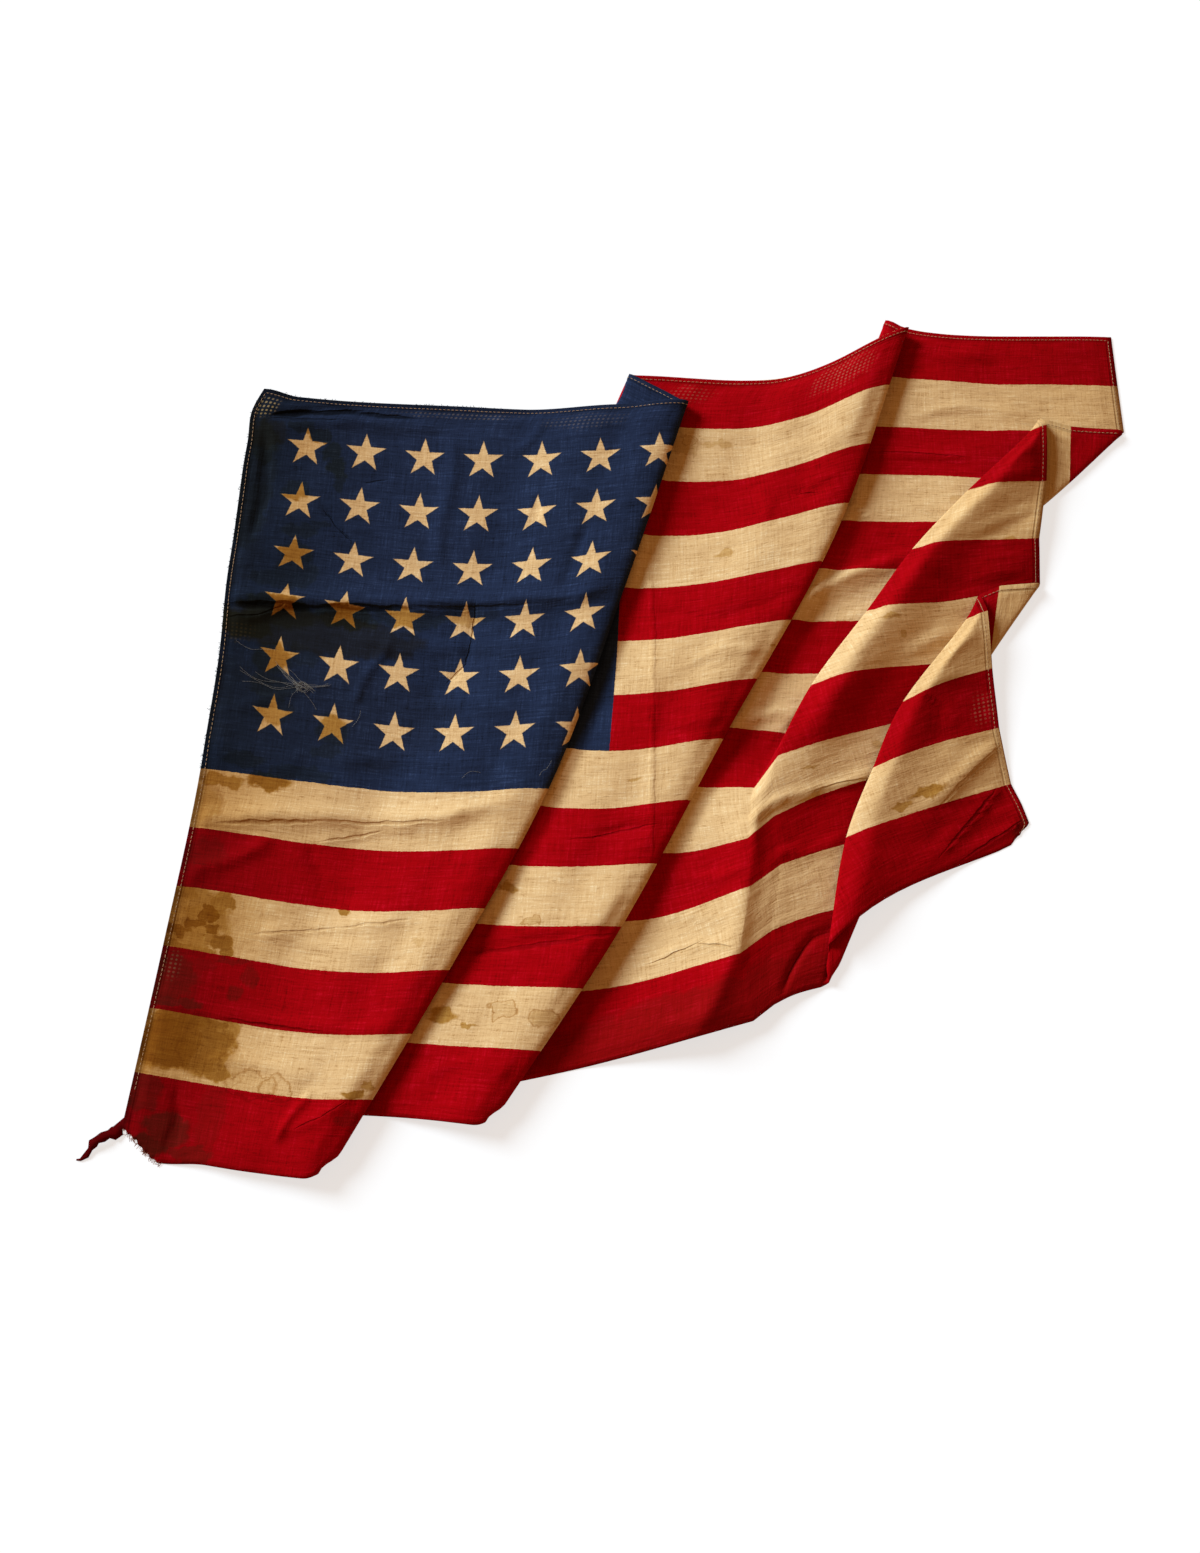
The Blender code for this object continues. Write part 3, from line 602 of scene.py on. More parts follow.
def tear(places, along, down, hem):
    """The laid-out cloth with its bottom rows drawn up to the torn edge near the hoist."""
    limit = np.interp(along[-1], *np.array(TEAR).T * CM)
    rows = down[:, -1]
    from_here = TEAR_FROM * CM
    share = (limit - from_here) / (DEEP - from_here)
    drawn = np.where(down > from_here, from_here + (down - from_here) * share, down)
    torn, torn_down = places.copy(), down.copy()
    for c in np.flatnonzero(limit < DEEP - MM):
        for axis in range(3):
            torn[:, c, axis] = np.interp(drawn[:, c], rows, places[:, c, axis])
        torn_down[:, c] = drawn[:, c]
    return torn, along, torn_down, hem


def lay_out_cloth():
    """Places, distances along and distances down for every row and column of the sheet."""
    starts = [LINES[name][0][0] for name in ("fold E", "fold F", "fold G", "fold H")]
    stripes = np.linspace(0.0, HOIST_STRIPES, ROWS + 1)
    stripes = np.union1d(stripes, np.array(HEM_STATIONS) / STRIPE)
    stripes = np.union1d(stripes, starts + [start + START_GAP for start in starts])
    places, lengths, weight = sections(stripes)
    along = flat_lengths(lengths)
    down = np.repeat(stripes[:, None] * STRIPE, along.shape[1], axis=1)
    tug(places, along, down)
    hem = hem_share(along, down)
    thicker = hem * (HEM - CLOTH) / 2
    places[..., 2] += weight * edge_share(along, down) * relief(along, down) + thicker
    places[..., 2] = np.maximum(places[..., 2], LAY + thicker)
    places[..., :2] -= CENTRE
    return places, along, down, hem


def strip_rows(top, bottom):
    """The torn strip of hem that hangs from the hoist edge, as rows of two places."""
    middle = (top + bottom) / 2
    route = [middle] + [middle + np.array([-left * CM, -low * CM, height * CM - middle[2]])
                        for left, low, _, height in TORN_STRIP]
    rows = []
    for i, (_, _, width, _) in enumerate(TORN_STRIP, start=1):
        ahead = route[min(i + 1, len(route) - 1)] - route[i - 1]
        across = np.array([-ahead[1], ahead[0], 0.0]) / np.hypot(ahead[0], ahead[1])
        rows.append((route[i] - across * width * CM / 2, route[i] + across * width * CM / 2))
    return rows


def put(name, data):
    """A new object in the scene."""
    thing = bpy.data.objects.new(name, data)
    bpy.context.scene.collection.objects.link(thing)
    return thing


def thicken(cloth):
    """Give the sheet its thickness, with the reverse of the print on its other side."""
    cloth.vertex_groups.new(name="thickness")
    cloth.data.materials.append(printed_cotton("printed cotton", False))
    cloth.data.materials.append(printed_cotton("reverse of the print", True))
    solid = cloth.modifiers.new("thickness", "SOLIDIFY")
    solid.thickness = HEM
    solid.offset = 0.0
    solid.vertex_group = "thickness"
    solid.material_offset = 1


def make_cloth(places, along, down, hem):
    """The thin sheet with its map of the flat cloth, its thicker hems and its torn strip."""
    rows, columns = places.shape[:2]
    sheet = bmesh.new()
    flat_map = sheet.loops.layers.uv.new("flat cloth")
    thick = sheet.verts.layers.deform.new()
    at = {}

    def corner(place, where, share):
        vert = sheet.verts.new(place)
        vert[thick][0] = CLOTH / HEM + (1.0 - CLOTH / HEM) * share
        at[vert] = (where[0] / FLY, 1.0 - where[1] / DEEP)
        return vert

    grid = [[corner(places[r, c], (along[r, c], down[r, c]), hem[r, c]) for c in range(columns)]
            for r in range(rows)]
    for r in range(rows - 1):
        for c in range(columns - 1):
            if np.linalg.norm(places[r, c + 1] - places[r, c]) > SHORTEST:
                sheet.faces.new((*grid[r + 1][c:c + 2], grid[r][c + 1], grid[r][c]))

    root = [int(np.abs(down[:, 0] - low * CM).argmin()) for low in STRIP_ROOT]
    edge = (grid[root[0]][0], grid[root[1]][0])
    for k, row in enumerate(strip_rows(places[root[0], 0], places[root[1], 0]), 1):
        new = [corner(place, (shows, (low + STRIP_STEP * k) * CM), STRIP_THICK)
               for place, shows, low in zip(row, STRIP_SHOWS, STRIP_ROOT)]
        sheet.faces.new((new[1], edge[1], edge[0], new[0]))
        edge = new
    for face in sheet.faces:
        face.smooth = True
        for loop in face.loops:
            loop[flat_map].uv = at[loop.vert]
    loose = [vert for vert in sheet.verts if not vert.link_faces]
    bmesh.ops.delete(sheet, geom=loose, context="VERTS")

    mesh = bpy.data.meshes.new("flag_cloth")
    sheet.to_mesh(mesh)
    sheet.free()
    cloth = put("flag_cloth", mesh)
    thicken(cloth)
    return cloth


# ======================================================================================
# Materials
# ======================================================================================

def math_node(operation, swapped=False):
    """A method of Value that adds one Math node."""
    def method(self, other):
        return self.nodes.maths(operation, *((other, self) if swapped else (self, other)))
    return method


class Value:
    """A number, colour or vector on its way through a material, for maths in Python."""

    def __init__(self, nodes, socket):
        self.nodes, self.socket = nodes, socket

    __add__ = __radd__ = math_node("ADD")
    __sub__ = math_node("SUBTRACT")
    __rsub__ = math_node("SUBTRACT", swapped=True)
    __mul__ = __rmul__ = math_node("MULTIPLY")
    __truediv__ = math_node("DIVIDE")
    __lt__ = math_node("LESS_THAN")


class Nodes:
    """The nodes of one material, or of the world."""

    def __init__(self, owner, shader="Principled BSDF"):
        owner.use_nodes = True
        self.owner = owner
        self.tree = owner.node_tree
        self.shader = self.tree.nodes[shader]

    def feed(self, sockets, inputs):
        """Link a node's sockets to values on their way, or set them to constants."""
        for name, value in inputs.items():
            if isinstance(value, Value):
                self.tree.links.new(value.socket, sockets[name])
            else:
                sockets[name].default_value = value

    def add(self, kind, settings, inputs, output=0):
        """Add a node: its settings first, then what goes into its sockets."""
        node = self.tree.nodes.new(kind)
        for name, setting in settings.items():
            setattr(node, name, setting)
        self.feed(node.inputs, inputs)
        return Value(self, node.outputs[output])

    def shade(self, inputs):
        """What goes into the shader. Gives back what the nodes belong to."""
        self.feed(self.shader.inputs, inputs)
        return self.owner

    def maths(self, operation, *values):
        return self.add("ShaderNodeMath", {"operation": operation}, dict(enumerate(values)))

    def least(self, first, second):
        return self.maths("MINIMUM", first, second)

    def most(self, first, second):
        return self.maths("MAXIMUM", first, second)

    def smooth(self, value, low, high):
        """0 below low and 1 above high, or the other way round if low is the higher."""
        return self.add("ShaderNodeMapRange",
                        {"interpolation_type": "SMOOTHSTEP", "clamp": False},
                        {"Value": value, "From Min": low, "From Max": high})

    def mix(self, share, first, second, blend="MIX"):
        return self.add("ShaderNodeMix", {"data_type": "RGBA", "blend_type": blend},
                        {0: share, 6: first, 7: second}, 2)

    def dim(self, share, shade, leaves):
        """A share of a shade is dimmed to what is left of its red, green and blue."""
        return self.mix(share, shade, self.mix(1.0, shade, leaves, "MULTIPLY"))

    def vector(self, x, y):
        return self.add("ShaderNodeCombineXYZ", {}, {"X": x, "Y": y})

    def grain(self, place, size=1.0, detail=2.0, roughness=0.5, kind="FBM"):
        """Noise from 0 to 1 whose spots are about size metres across."""
        return self.add("ShaderNodeTexNoise", {"noise_type": kind},
                        {"Vector": place, "Scale": 1.0 / size, "Detail": detail,
                         "Roughness": roughness})

    def three(self, share, tones):
        """A dark, a usual and a light tone, blended at 0, 0.5 and 1."""
        lower = self.mix(self.smooth(share, 0.05, 0.5), tones[0], tones[1])
        return self.mix(self.smooth(share, 0.5, 0.95), lower, tones[2])


def colour(red, green, blue):
    """A colour from its usual 0 to 255 numbers."""
    levels = [level / 255 for level in (red, green, blue)]
    return tuple(v / 12.92 if v <= 0.04045 else ((v + 0.055) / 1.055) ** 2.4
                 for v in levels) + (1.0,)


def grey(level):
    return (level, level, level, 1.0)


# Each dye or ground has a dark, a usual and a light thread.
CREAM = (colour(160, 116, 66), colour(208, 170, 119), colour(233, 208, 163))
RED = (colour(104, 0, 0), colour(149, 0, 6), colour(182, 10, 30))
NAVY = (colour(15, 18, 27), colour(30, 39, 61), colour(50, 63, 93))
# What ageing, stains and painted shade leave of the red, green and blue of a ground.
OLD_AND_SHADED_CREAM = (0.72, 0.60, 0.42, 1.0)
OLD_AND_SHADED_DYE = (0.62, 0.60, 0.52, 1.0)
TEA_CREAM = (0.39, 0.26, 0.09, 1.0)
YELLOWED = (0.93, 0.80, 0.42, 1.0)   # a faint stain takes the blue out of the cream first
TEA_DYE = (0.72, 0.62, 0.30, 1.0)
SMOKE_AND_SHADE = (0.50, 0.45, 0.40, 1.0)
SOOT_AND_SHADE = colour(44, 38, 18)
# A stain's dried rim, and painted shade in the thin creases on the cream:
TIDE_AND_CREASE_SHADE = (0.62, 0.46, 0.26, 1.0)
# Grime along the edges, and painted shade in the seams and the thin creases:
GRIME_AND_SHADE = (0.30, 0.26, 0.22, 1.0)
WEAR = colour(170, 150, 120)
THREAD = colour(172, 136, 96)
LINT_SHADE = colour(134, 128, 118)
FRAY_SHADE = colour(142, 82, 54)
FUZZ_SHADE = colour(30, 32, 40)
AGED_TO = 0.16            # how far from the hoist the cloth has aged more than elsewhere
SOILED_TO = 0.06          # and how far it is soiled besides
SHADED_AND_AGED_FROM = 0.66          # and how far along it starts to darken again, towards the fly: painted shade on the fly's panels, with some ageing
GRIMY = (0.42, 0.10)      # from here along, the hems get grimier towards the hoist, to there
SEAM_WIDE = 0.0012        # width of the sunken line beside a hem, which is also darkened as painted shade
OLD_EDGE = (0.0075, 0.0010)  # how far in the dirt along the edges starts, and is all there

# Sizes of the cloth's grain: along and down, in metres.
WEFT = (0.028, 0.0015)    # the yarns along the fly
WARP = (0.0016, 0.026)    # the yarns across it
SLUB = (0.007, 0.0014)    # thick places in the yarns
WRINKLES = (0.034, 0.012)
CRUMPLE = (0.055, 0.032)
CROSSINGS = 0.0011        # spots where yarns cross
PATCHES = 0.075
BLOTCHES = 0.016

# How high each stands in the relief, in metres.
YARNS_HIGH = 0.0006
SLUB_HIGH = 0.0001
WRINKLES_HIGH = 0.0014
CRUMPLE_HIGH = 0.0013
SEAM_DEEP = 0.0003
PRESSED_DEEP = 0.0008

# Stains, in centimetres on the flat cloth. Strength and rim run from 0 to 1.
STAINS = (
    # along, down, half length, half height, strength, rim
    # on the canton
    (1.0, 7.0, 2.0, 7.0, 0.45, 0.0),
    (1.4, 4.4, 1.2, 2.2, 0.80, 0.0),
    (1.6, 9.4, 1.0, 2.4, 0.55, 0.0),
    (4.4, 2.9, 1.2, 0.6, 0.55, 0.0),
    (6.0, 3.5, 1.0, 0.7, 0.70, 0.0),
    (6.9, 4.7, 0.8, 0.9, 0.75, 0.1),
    (7.6, 6.1, 0.8, 1.1, 0.80, 0.1),
    (7.9, 7.5, 0.6, 0.9, 0.60, 0.0),
    (4.6, 8.4, 1.1, 0.9, 0.55, 0.1),
    (5.2, 11.7, 1.7, 0.7, 0.55, 0.0),
    (6.9, 11.0, 1.0, 0.5, 0.45, 0.0),
    (5.2, 13.8, 1.5, 1.1, 0.70, 0.1),
    (5.4, 15.6, 2.0, 1.6, 0.50, 0.0),
    (3.6, 16.4, 2.0, 1.0, 0.45, 0.0),
    (4.6, 19.3, 3.6, 1.4, 0.85, 0.0),
    (1.8, 20.8, 3.0, 1.2, 0.95, 0.0),
    (9.9, 18.9, 3.0, 1.1, 0.90, 0.0),
    (14.7, 18.4, 3.0, 0.9, 0.60, 0.0),
    (19.5, 17.8, 2.6, 0.7, 0.35, 0.0),
    (4.5, 23.2, 1.7, 1.4, 0.70, 0.1),
    (6.8, 22.6, 1.6, 0.9, 0.40, 0.0),
    (4.6, 25.4, 2.2, 1.1, 0.60, 0.0),
    (5.0, 27.2, 1.6, 1.2, 0.50, 0.1),
    (9.8, 28.0, 1.4, 1.3, 0.60, 0.1),
    (9.4, 29.7, 1.4, 0.5, 0.45, 0.0),
    (8.0, 31.6, 2.8, 0.6, 0.45, 0.0),
    (3.2, 31.2, 1.8, 0.6, 0.50, 0.0),
    # on the pale stripes by the hoist
    (1.8, 32.9, 1.9, 0.6, 0.60, 0.2),
    (5.4, 32.5, 1.8, 0.7, 0.85, 0.5),
    (0.7, 34.9, 1.6, 1.5, 0.30, 0.5),
    (0.6, 41.8, 1.3, 0.6, 0.65, 0.2),
    (1.4, 43.1, 0.8, 0.6, 0.60, 0.4),
    (0.7, 44.7, 1.2, 0.5, 0.95, 0.2),
    (2.0, 44.0, 1.1, 0.5, 0.95, 0.2),
    (2.9, 43.1, 0.9, 0.8, 0.95, 0.2),
    (3.7, 42.2, 1.0, 0.9, 0.65, 0.2),
    (3.4, 44.3, 0.7, 0.6, 0.90, 0.3),
    (4.2, 45.1, 1.0, 0.6, 0.80, 0.4),
    (4.9, 45.7, 0.6, 0.5, 0.75, 0.2),
    (0.6, 45.8, 1.3, 0.4, 0.75, 0.2),
    (2.3, 46.0, 2.0, 0.3, 0.60, 0.0),
    (5.0, 43.3, 2.0, 1.9, 0.12, 0.3),
    (1.6, 43.7, 3.4, 2.8, 0.50, 0.1),
    (12.8, 41.4, 0.5, 0.4, 0.75, 0.2),
    (19.1, 43.75, 0.6, 0.25, 0.20, 0.3),
    (2.2, 52.6, 2.9, 2.4, 0.95, 0.3),
    (5.0, 52.6, 2.0, 2.3, 0.85, 0.4),
    (2.8, 50.9, 2.6, 0.6, 0.90, 0.2),
    (5.9, 54.2, 1.0, 0.8, 0.70, 0.4),
    (6.5, 51.0, 0.6, 0.8, 0.55, 0.5),
    (8.7, 54.8, 1.9, 1.0, 0.14, 0.9),
    (10.8, 54.8, 1.3, 0.9, 0.06, 0.9),
    (7.0, 53.8, 1.0, 1.2, 0.16, 0.5),
    (0.6, 52.8, 1.6, 2.6, 0.30, 0.0),
    (16.6, 54.9, 0.9, 0.3, 0.70, 0.3),
    (17.3, 54.3, 0.6, 0.3, 0.45, 0.3),
    # on the second panel
    (47.1, 5.6, 0.6, 0.5, 0.20, 0.9),
    (46.8, 6.1, 1.1, 0.8, 0.22, 0.5),
    (49.3, 6.0, 1.4, 0.25, 0.25, 0.2),
    (49.1, 15.9, 0.8, 0.3, 0.32, 0.2),
    (53.2, 25.0, 0.3, 0.25, 0.45, 0.2),
    (42.8, 34.6, 0.7, 0.25, 0.35, 0.2),
    (34.0, 43.1, 0.8, 0.35, 0.50, 0.4),
    (36.1, 45.6, 0.7, 0.35, 0.20, 1.0),
    (30.8, 53.0, 1.1, 0.5, 0.60, 0.5),
    (32.8, 53.7, 0.6, 0.2, 0.50, 0.3),
    (35.2, 52.3, 1.1, 0.7, 0.12, 1.0),
    (38.3, 52.8, 1.1, 0.7, 0.22, 1.0),
    # on the fly's panels
    (74.2, 16.0, 0.7, 0.5, 0.20, 0.2),
    (76.3, 33.0, 0.8, 0.3, 0.38, 0.2),
    (76.8, 34.4, 0.3, 0.3, 0.35, 0.2),
    (67.3, 43.2, 0.8, 0.2, 0.35, 0.1),
    (73.4, 43.1, 0.8, 0.4, 0.28, 0.2),
    (81.8, 54.0, 1.7, 0.45, 0.60, 0.4),
    (79.8, 54.5, 1.0, 0.3, 0.50, 0.2),
    (86.3, 27.9, 0.7, 0.5, 0.35, 0.3),
)

# Smoky patches on the red and the blue, in the same way, and some patches of painted shade.
SMUDGES_AND_PAINTED_SHADE = (
    # along, down, half length, half height, strength, rim
    (1.2, 48.2, 2.1, 2.0, 0.60, 0.2),
    (2.0, 49.9, 2.2, 0.5, 0.80, 0.0),
    (6.1, 48.6, 0.8, 0.6, 0.55, 0.2),
    (7.0, 47.2, 0.5, 0.7, 0.45, 0.3),
    (5.6, 46.3, 1.5, 0.3, 0.50, 0.2),
    (3.4, 46.9, 1.2, 0.6, 0.25, 0.0),
    (3.2, 58.6, 2.0, 1.2, 0.85, 0.1),
    (2.0, 59.8, 1.6, 0.8, 1.00, 0.0),
    (5.4, 60.0, 2.0, 0.6, 0.60, 0.0),
    (0.8, 56.4, 1.8, 1.4, 0.50, 0.0),
    (6.3, 57.4, 1.0, 2.6, 0.25, 0.2),
    (1.8, 38.6, 1.8, 1.2, 0.25, 0.0),
    (16.4, 56.6, 1.0, 0.6, 0.45, 0.0),
    (88.3, 59.4, 1.2, 0.9, 0.60, 0.0),
    # painted shade over the bottom red stripe below the second and third panels
    (56.0, 59.2, 13.0, 2.6, 0.38, 0.0),
    # soot, and painted shadow under the ridge across the canton
    (7.0, 20.6, 10.0, 1.9, 0.95, 0.0),
    (8.0, 26.8, 12.0, 4.8, 0.22, 0.0),
    (1.6, 3.6, 1.8, 1.4, 0.60, 0.0),
    (1.2, 10.0, 1.8, 8.0, 0.14, 0.0),
    # painted shade on the red below the wave's right flank
    (66.0, 57.6, 5.0, 3.0, 0.20, 0.0),
)

CHECK = (0.0038, 0.0031)  # size of the check where the print is thin

# Patches where the print is thin and the weave shows as a pale check.
WORN = (
    # along, down, half length, half height in cm, strength
    (1.1, 1.3, 1.1, 1.1, 1.30),
    (17.0, 0.8, 6.0, 0.4, 0.18),
    (27.0, 1.4, 4.0, 0.8, 0.12),
    (1.6, 21.4, 1.4, 1.0, 0.18),
    (46.5, 1.4, 2.2, 0.9, 0.12),
    (59.5, 1.8, 3.0, 1.5, 0.22),
    (87.4, 49.0, 1.1, 1.8, 0.22),
    (1.0, 47.4, 0.8, 1.2, 0.40),
)

# Thin creases, pressed into the cloth and darkened along their line as painted shade.
PRESSED = (
    # along, down, to along, to down in cm, half width in mm, depth (raised if below 0)
    (1.9, 2.0, 5.2, 1.3, 4.0, 2.8),
    (4.6, 1.5, 8.6, 0.9, 3.4, 2.6),
    (2.0, 2.3, 7.5, 2.0, 1.6, 1.2),
    (8.0, 1.1, 13.5, 1.3, 2.6, 2.0),
    (0.4, 19.4, 8.0, 18.6, 4.4, 2.2),
    (7.5, 18.5, 15.0, 17.6, 3.6, 1.9),
    (15.0, 17.4, 24.0, 17.1, 2.4, 0.8),
    (19.9, 17.0, 19.9, 20.0, 1.3, 1.1),
    (19.9, 20.0, 19.6, 21.8, 1.3, 1.1),
    (19.6, 21.8, 18.3, 23.4, 1.2, 0.8),
    (7.0, 9.8, 8.3, 11.2, 1.0, 0.9),
    (8.3, 11.2, 9.6, 12.2, 1.1, 1.0),
    (0.4, 20.4, 3.2, 19.9, 1.3, 1.4),
    (3.2, 19.9, 5.0, 18.8, 1.2, 1.2),
    (9.8, 7.1, 11.7, 6.7, 1.0, 0.8),
    (2.5, 36.2, 9.5, 35.2, 2.4, 1.2),
    (9.5, 35.1, 19.0, 34.5, 1.8, 0.8),
    (10.0, 36.6, 14.6, 35.4, 1.4, 0.6),
    (6.6, 44.1, 12.6, 42.8, 1.6, 0.6),
    (12.6, 42.8, 18.0, 42.0, 1.3, 0.5),
    (6.0, 50.4, 13.0, 50.4, 1.6, 1.0),
    (12.8, 57.4, 14.6, 56.5, 1.0, 1.0),
    (14.6, 56.5, 16.0, 55.4, 1.0, 1.0),
    (43.1, 16.0, 43.9, 28.1, 3.0, -0.5),
    (43.9, 28.1, 44.6, 41.0, 3.0, -0.5),
    (52.4, 54.0, 56.4, 53.5, 1.2, 0.9),
    (56.3, 53.7, 58.6, 54.6, 1.3, 1.1),
    (31.5, 48.3, 42.5, 46.6, 2.6, 1.1),
    (38.5, 39.3, 44.5, 38.5, 1.6, 0.9),
    (66.8, 45.5, 71.6, 45.9, 1.4, 1.0),
    (67.0, 11.6, 74.6, 11.9, 1.3, 0.9),
    (81.4, 59.2, 87.0, 55.4, 2.0, 1.2),
    (82.6, 55.3, 88.0, 52.2, 2.0, 1.0),
    (83.0, 60.3, 88.0, 58.7, 1.8, 1.2),
    (63.3, 59.5, 65.2, 57.0, 1.5, 1.2),
    (55.2, 12.0, 57.0, 12.4, 1.1, 0.8),
)
PRESSED_ON = 1.25         # how much longer than from end to end a pressed crease runs


def ellipse(n, along, down, centre, low, half_along, half_down, turned=0.0):
    """How far out a place is from an ellipse's middle, squared: 1 on its rim. Sizes are in
    centimetres, and its turn from the fly's direction towards the bottom edge in radians."""
    out = 0.0
    for x, y, half in ((math.cos(turned), math.sin(turned), half_along),
                       (-math.sin(turned), math.cos(turned), half_down)):
        off = -(centre * x + low * y) / half
        for distance, share in ((along, x), (down, y)):
            if share:
                off = n.maths("MULTIPLY_ADD", distance, share / (half * CM), off)
        out = n.maths("MULTIPLY_ADD", off, off, out)
    return out


def pressed_creases(n, along, down):
    """How deep the thin creases are. Each is a long narrow ellipse."""
    deep = 0.0
    for left, top, right, bottom, half_width, depth in PRESSED:
        run, fall = right - left, bottom - top
        away = ellipse(n, along, down, (left + right) / 2, (top + bottom) / 2,
                       math.hypot(run, fall) * PRESSED_ON / 2, half_width * MM / CM,
                       math.atan2(fall, run))
        deep = n.maths("MULTIPLY_ADD", n.smooth(away, 1.0, 0.0), depth, deep)
    return deep


def star_print(n, along, down):
    """1 inside a printed star."""
    column = n.maths("ROUND", (along / STRIPE - FIRST_STAR) / STAR_STEP)
    column = n.least(n.most(column, 0.0), STAR_COLUMNS - 1.0)
    row = n.least(n.most(n.maths("ROUND", down / STRIPE), 1.0), STAR_ROWS)
    x = along / STRIPE - FIRST_STAR - column * STAR_STEP
    y = row - down / STRIPE
    far = n.maths("SQRT", x * x + y * y)
    point = math.pi / 5
    turned = n.maths("FLOORED_MODULO", n.maths("ARCTAN2", x, y) + point, 2 * point)
    wedge = n.maths("ABSOLUTE", turned - point)
    outside = ((far * n.maths("COSINE", wedge) - STAR_RADIUS) * math.sin(point / 2)
               + far * n.maths("SINE", wedge) * math.cos(point / 2))
    return n.smooth(outside, 0.012, -0.004)


def stained(n, rows, along, down, blotches):
    """How far the rows' stains have soaked in, and their dried rims."""
    reach = blotches * 1.4 + 0.3
    soaked, rims = 0.0, 0.0
    for *spot, strength, rim in rows:
        inside = reach - ellipse(n, along, down, *spot)
        soaked = n.most(n.smooth(inside, -0.12, 0.44) * strength, soaked)
        if rim:
            rims = n.most(n.smooth(n.maths("ABSOLUTE", inside), 0.30, 0.0) * rim, rims)
    return soaked, rims


class FlatCloth:
    """Where a place is on the flat cloth, and the grain that the cloth's looks vary by."""

    def __init__(self, n):
        places = n.add("ShaderNodeUVMap", {"uv_map": "flat cloth"}, {})
        parts = n.add("ShaderNodeSeparateXYZ", {}, {"Vector": places})
        self.n = n
        self.along = parts * FLY
        self.down = (1.0 - Value(n, parts.socket.node.outputs[1])) * DEEP
        self.place = n.vector(self.along, self.down)
        self.slub = self.stretched(SLUB)
        self.yarns = (self.stretched(WEFT, 3.0, 0.75) * 0.46
                      + self.stretched(WARP, 3.0, 0.75) * 0.38
                      + n.grain(self.place, CROSSINGS, 1.0) * 0.16)
        self.patches = n.grain(self.place, PATCHES, 4.0, 0.6)
        self.blotches = n.grain(self.place, BLOTCHES, 4.0, 0.65)

    def stretched(self, sizes, detail=2.0, roughness=0.5, kind="FBM"):
        """Noise whose spots have these sizes along and down the cloth."""
        place = self.n.vector(self.along / sizes[0], self.down / sizes[1])
        return self.n.grain(place, 1.0, detail, roughness, kind)

    def strays(self, size, far, detail=2.0):
        """A little distance that varies over the cloth."""
        return (self.n.grain(self.place, size, detail) - 0.5) * far


def printed(n, flat):
    """The printed colours, and where the cloth is pale."""
    along = flat.along + flat.strays(0.003, 0.0010)
    down = flat.down + flat.strays(0.0032, 0.0010) + flat.strays(0.05, 0.0020)
    tone = flat.yarns * 2.3 + flat.patches * 0.35 + flat.blotches * 0.30 - 0.975
    band = n.least(n.maths("FLOOR", down / STRIPE), STRIPES - 1.0)
    canton = (along < CANTON_LONG) * (down < CANTON_STRIPES * STRIPE)
    star = star_print(n, along, down) * canton
    pale = n.maths("FLOORED_MODULO", band, 2.0) * (1.0 - canton) + star
    cream = n.three(tone, CREAM)
    cream = n.mix(n.smooth(flat.slub, 0.60, 0.74) * 0.6, cream, CREAM[0])
    dye = n.mix(canton, n.three(tone, RED), n.three(tone, NAVY))
    return n.mix(pale, worn_dye(n, flat, dye), cream), pale


def worn_dye(n, flat, dye):
    """Where the dye has worn thin, the weave shows as a pale check."""
    check = 1.0
    for place, size in ((flat.along, CHECK[0]), (flat.down, CHECK[1])):
        check = (n.maths("SINE", place * (2 * math.pi / size)) * 0.5 + 0.5) * check
    worn = 0.0
    for *spot, strength in WORN:
        inside = flat.blotches * 3.0 - 0.3 - ellipse(n, flat.along, flat.down, *spot)
        worn = n.most(n.smooth(inside, 0.0, 1.4) * strength, worn)
    return n.mix(worn * n.smooth(check + (flat.yarns - 0.5), 0.25, 0.75), dye, WEAR)


def hemmed(n, flat, cloth):
    """A second thickness inside a sunken seam whose line is darkened as painted shade, and grimy
    along the very edge.
    """
    inside = n.least(n.least(flat.along, FLY - flat.along), flat.down)
    seam = n.smooth(n.maths("ABSOLUTE", inside - HEM_WIDE), SEAM_WIDE, 0.0)
    old_edge = n.smooth(inside, *OLD_EDGE) * n.smooth(flat.blotches, 0.10, 0.55)
    grimy = n.smooth(flat.along, *GRIMY) * 0.65 + 0.20
    # The seam is darkened as painted shade, the very edge with grime.
    return n.dim(n.most(seam * 0.40, old_edge * grimy), cloth, GRIME_AND_SHADE), seam


def aged_and_shaded(n, flat, cloth, pale):
    """The cloth is older towards the hoist, darkened towards the fly as painted shade with some
    ageing, and unevenly so.
    """
    # The rise towards the fly is painted shade, with some ageing in it; the rise towards the hoist
    # is ageing.
    age_and_shade = (n.smooth(flat.along, AGED_TO, 0.0) * 0.8
           + n.smooth(flat.along, SHADED_AND_AGED_FROM, FLY) * 0.45 + (flat.patches - 0.5) * 0.5)
    soiled = n.smooth(flat.along, SOILED_TO, 0.0) * n.smooth(flat.blotches, 0.2, 0.6)
    leaves = n.mix(pale, OLD_AND_SHADED_DYE, OLD_AND_SHADED_CREAM)
    for share in (n.smooth(age_and_shade, -0.1, 1.0), soiled * 0.8):
        cloth = n.dim(share, cloth, leaves)
    return cloth


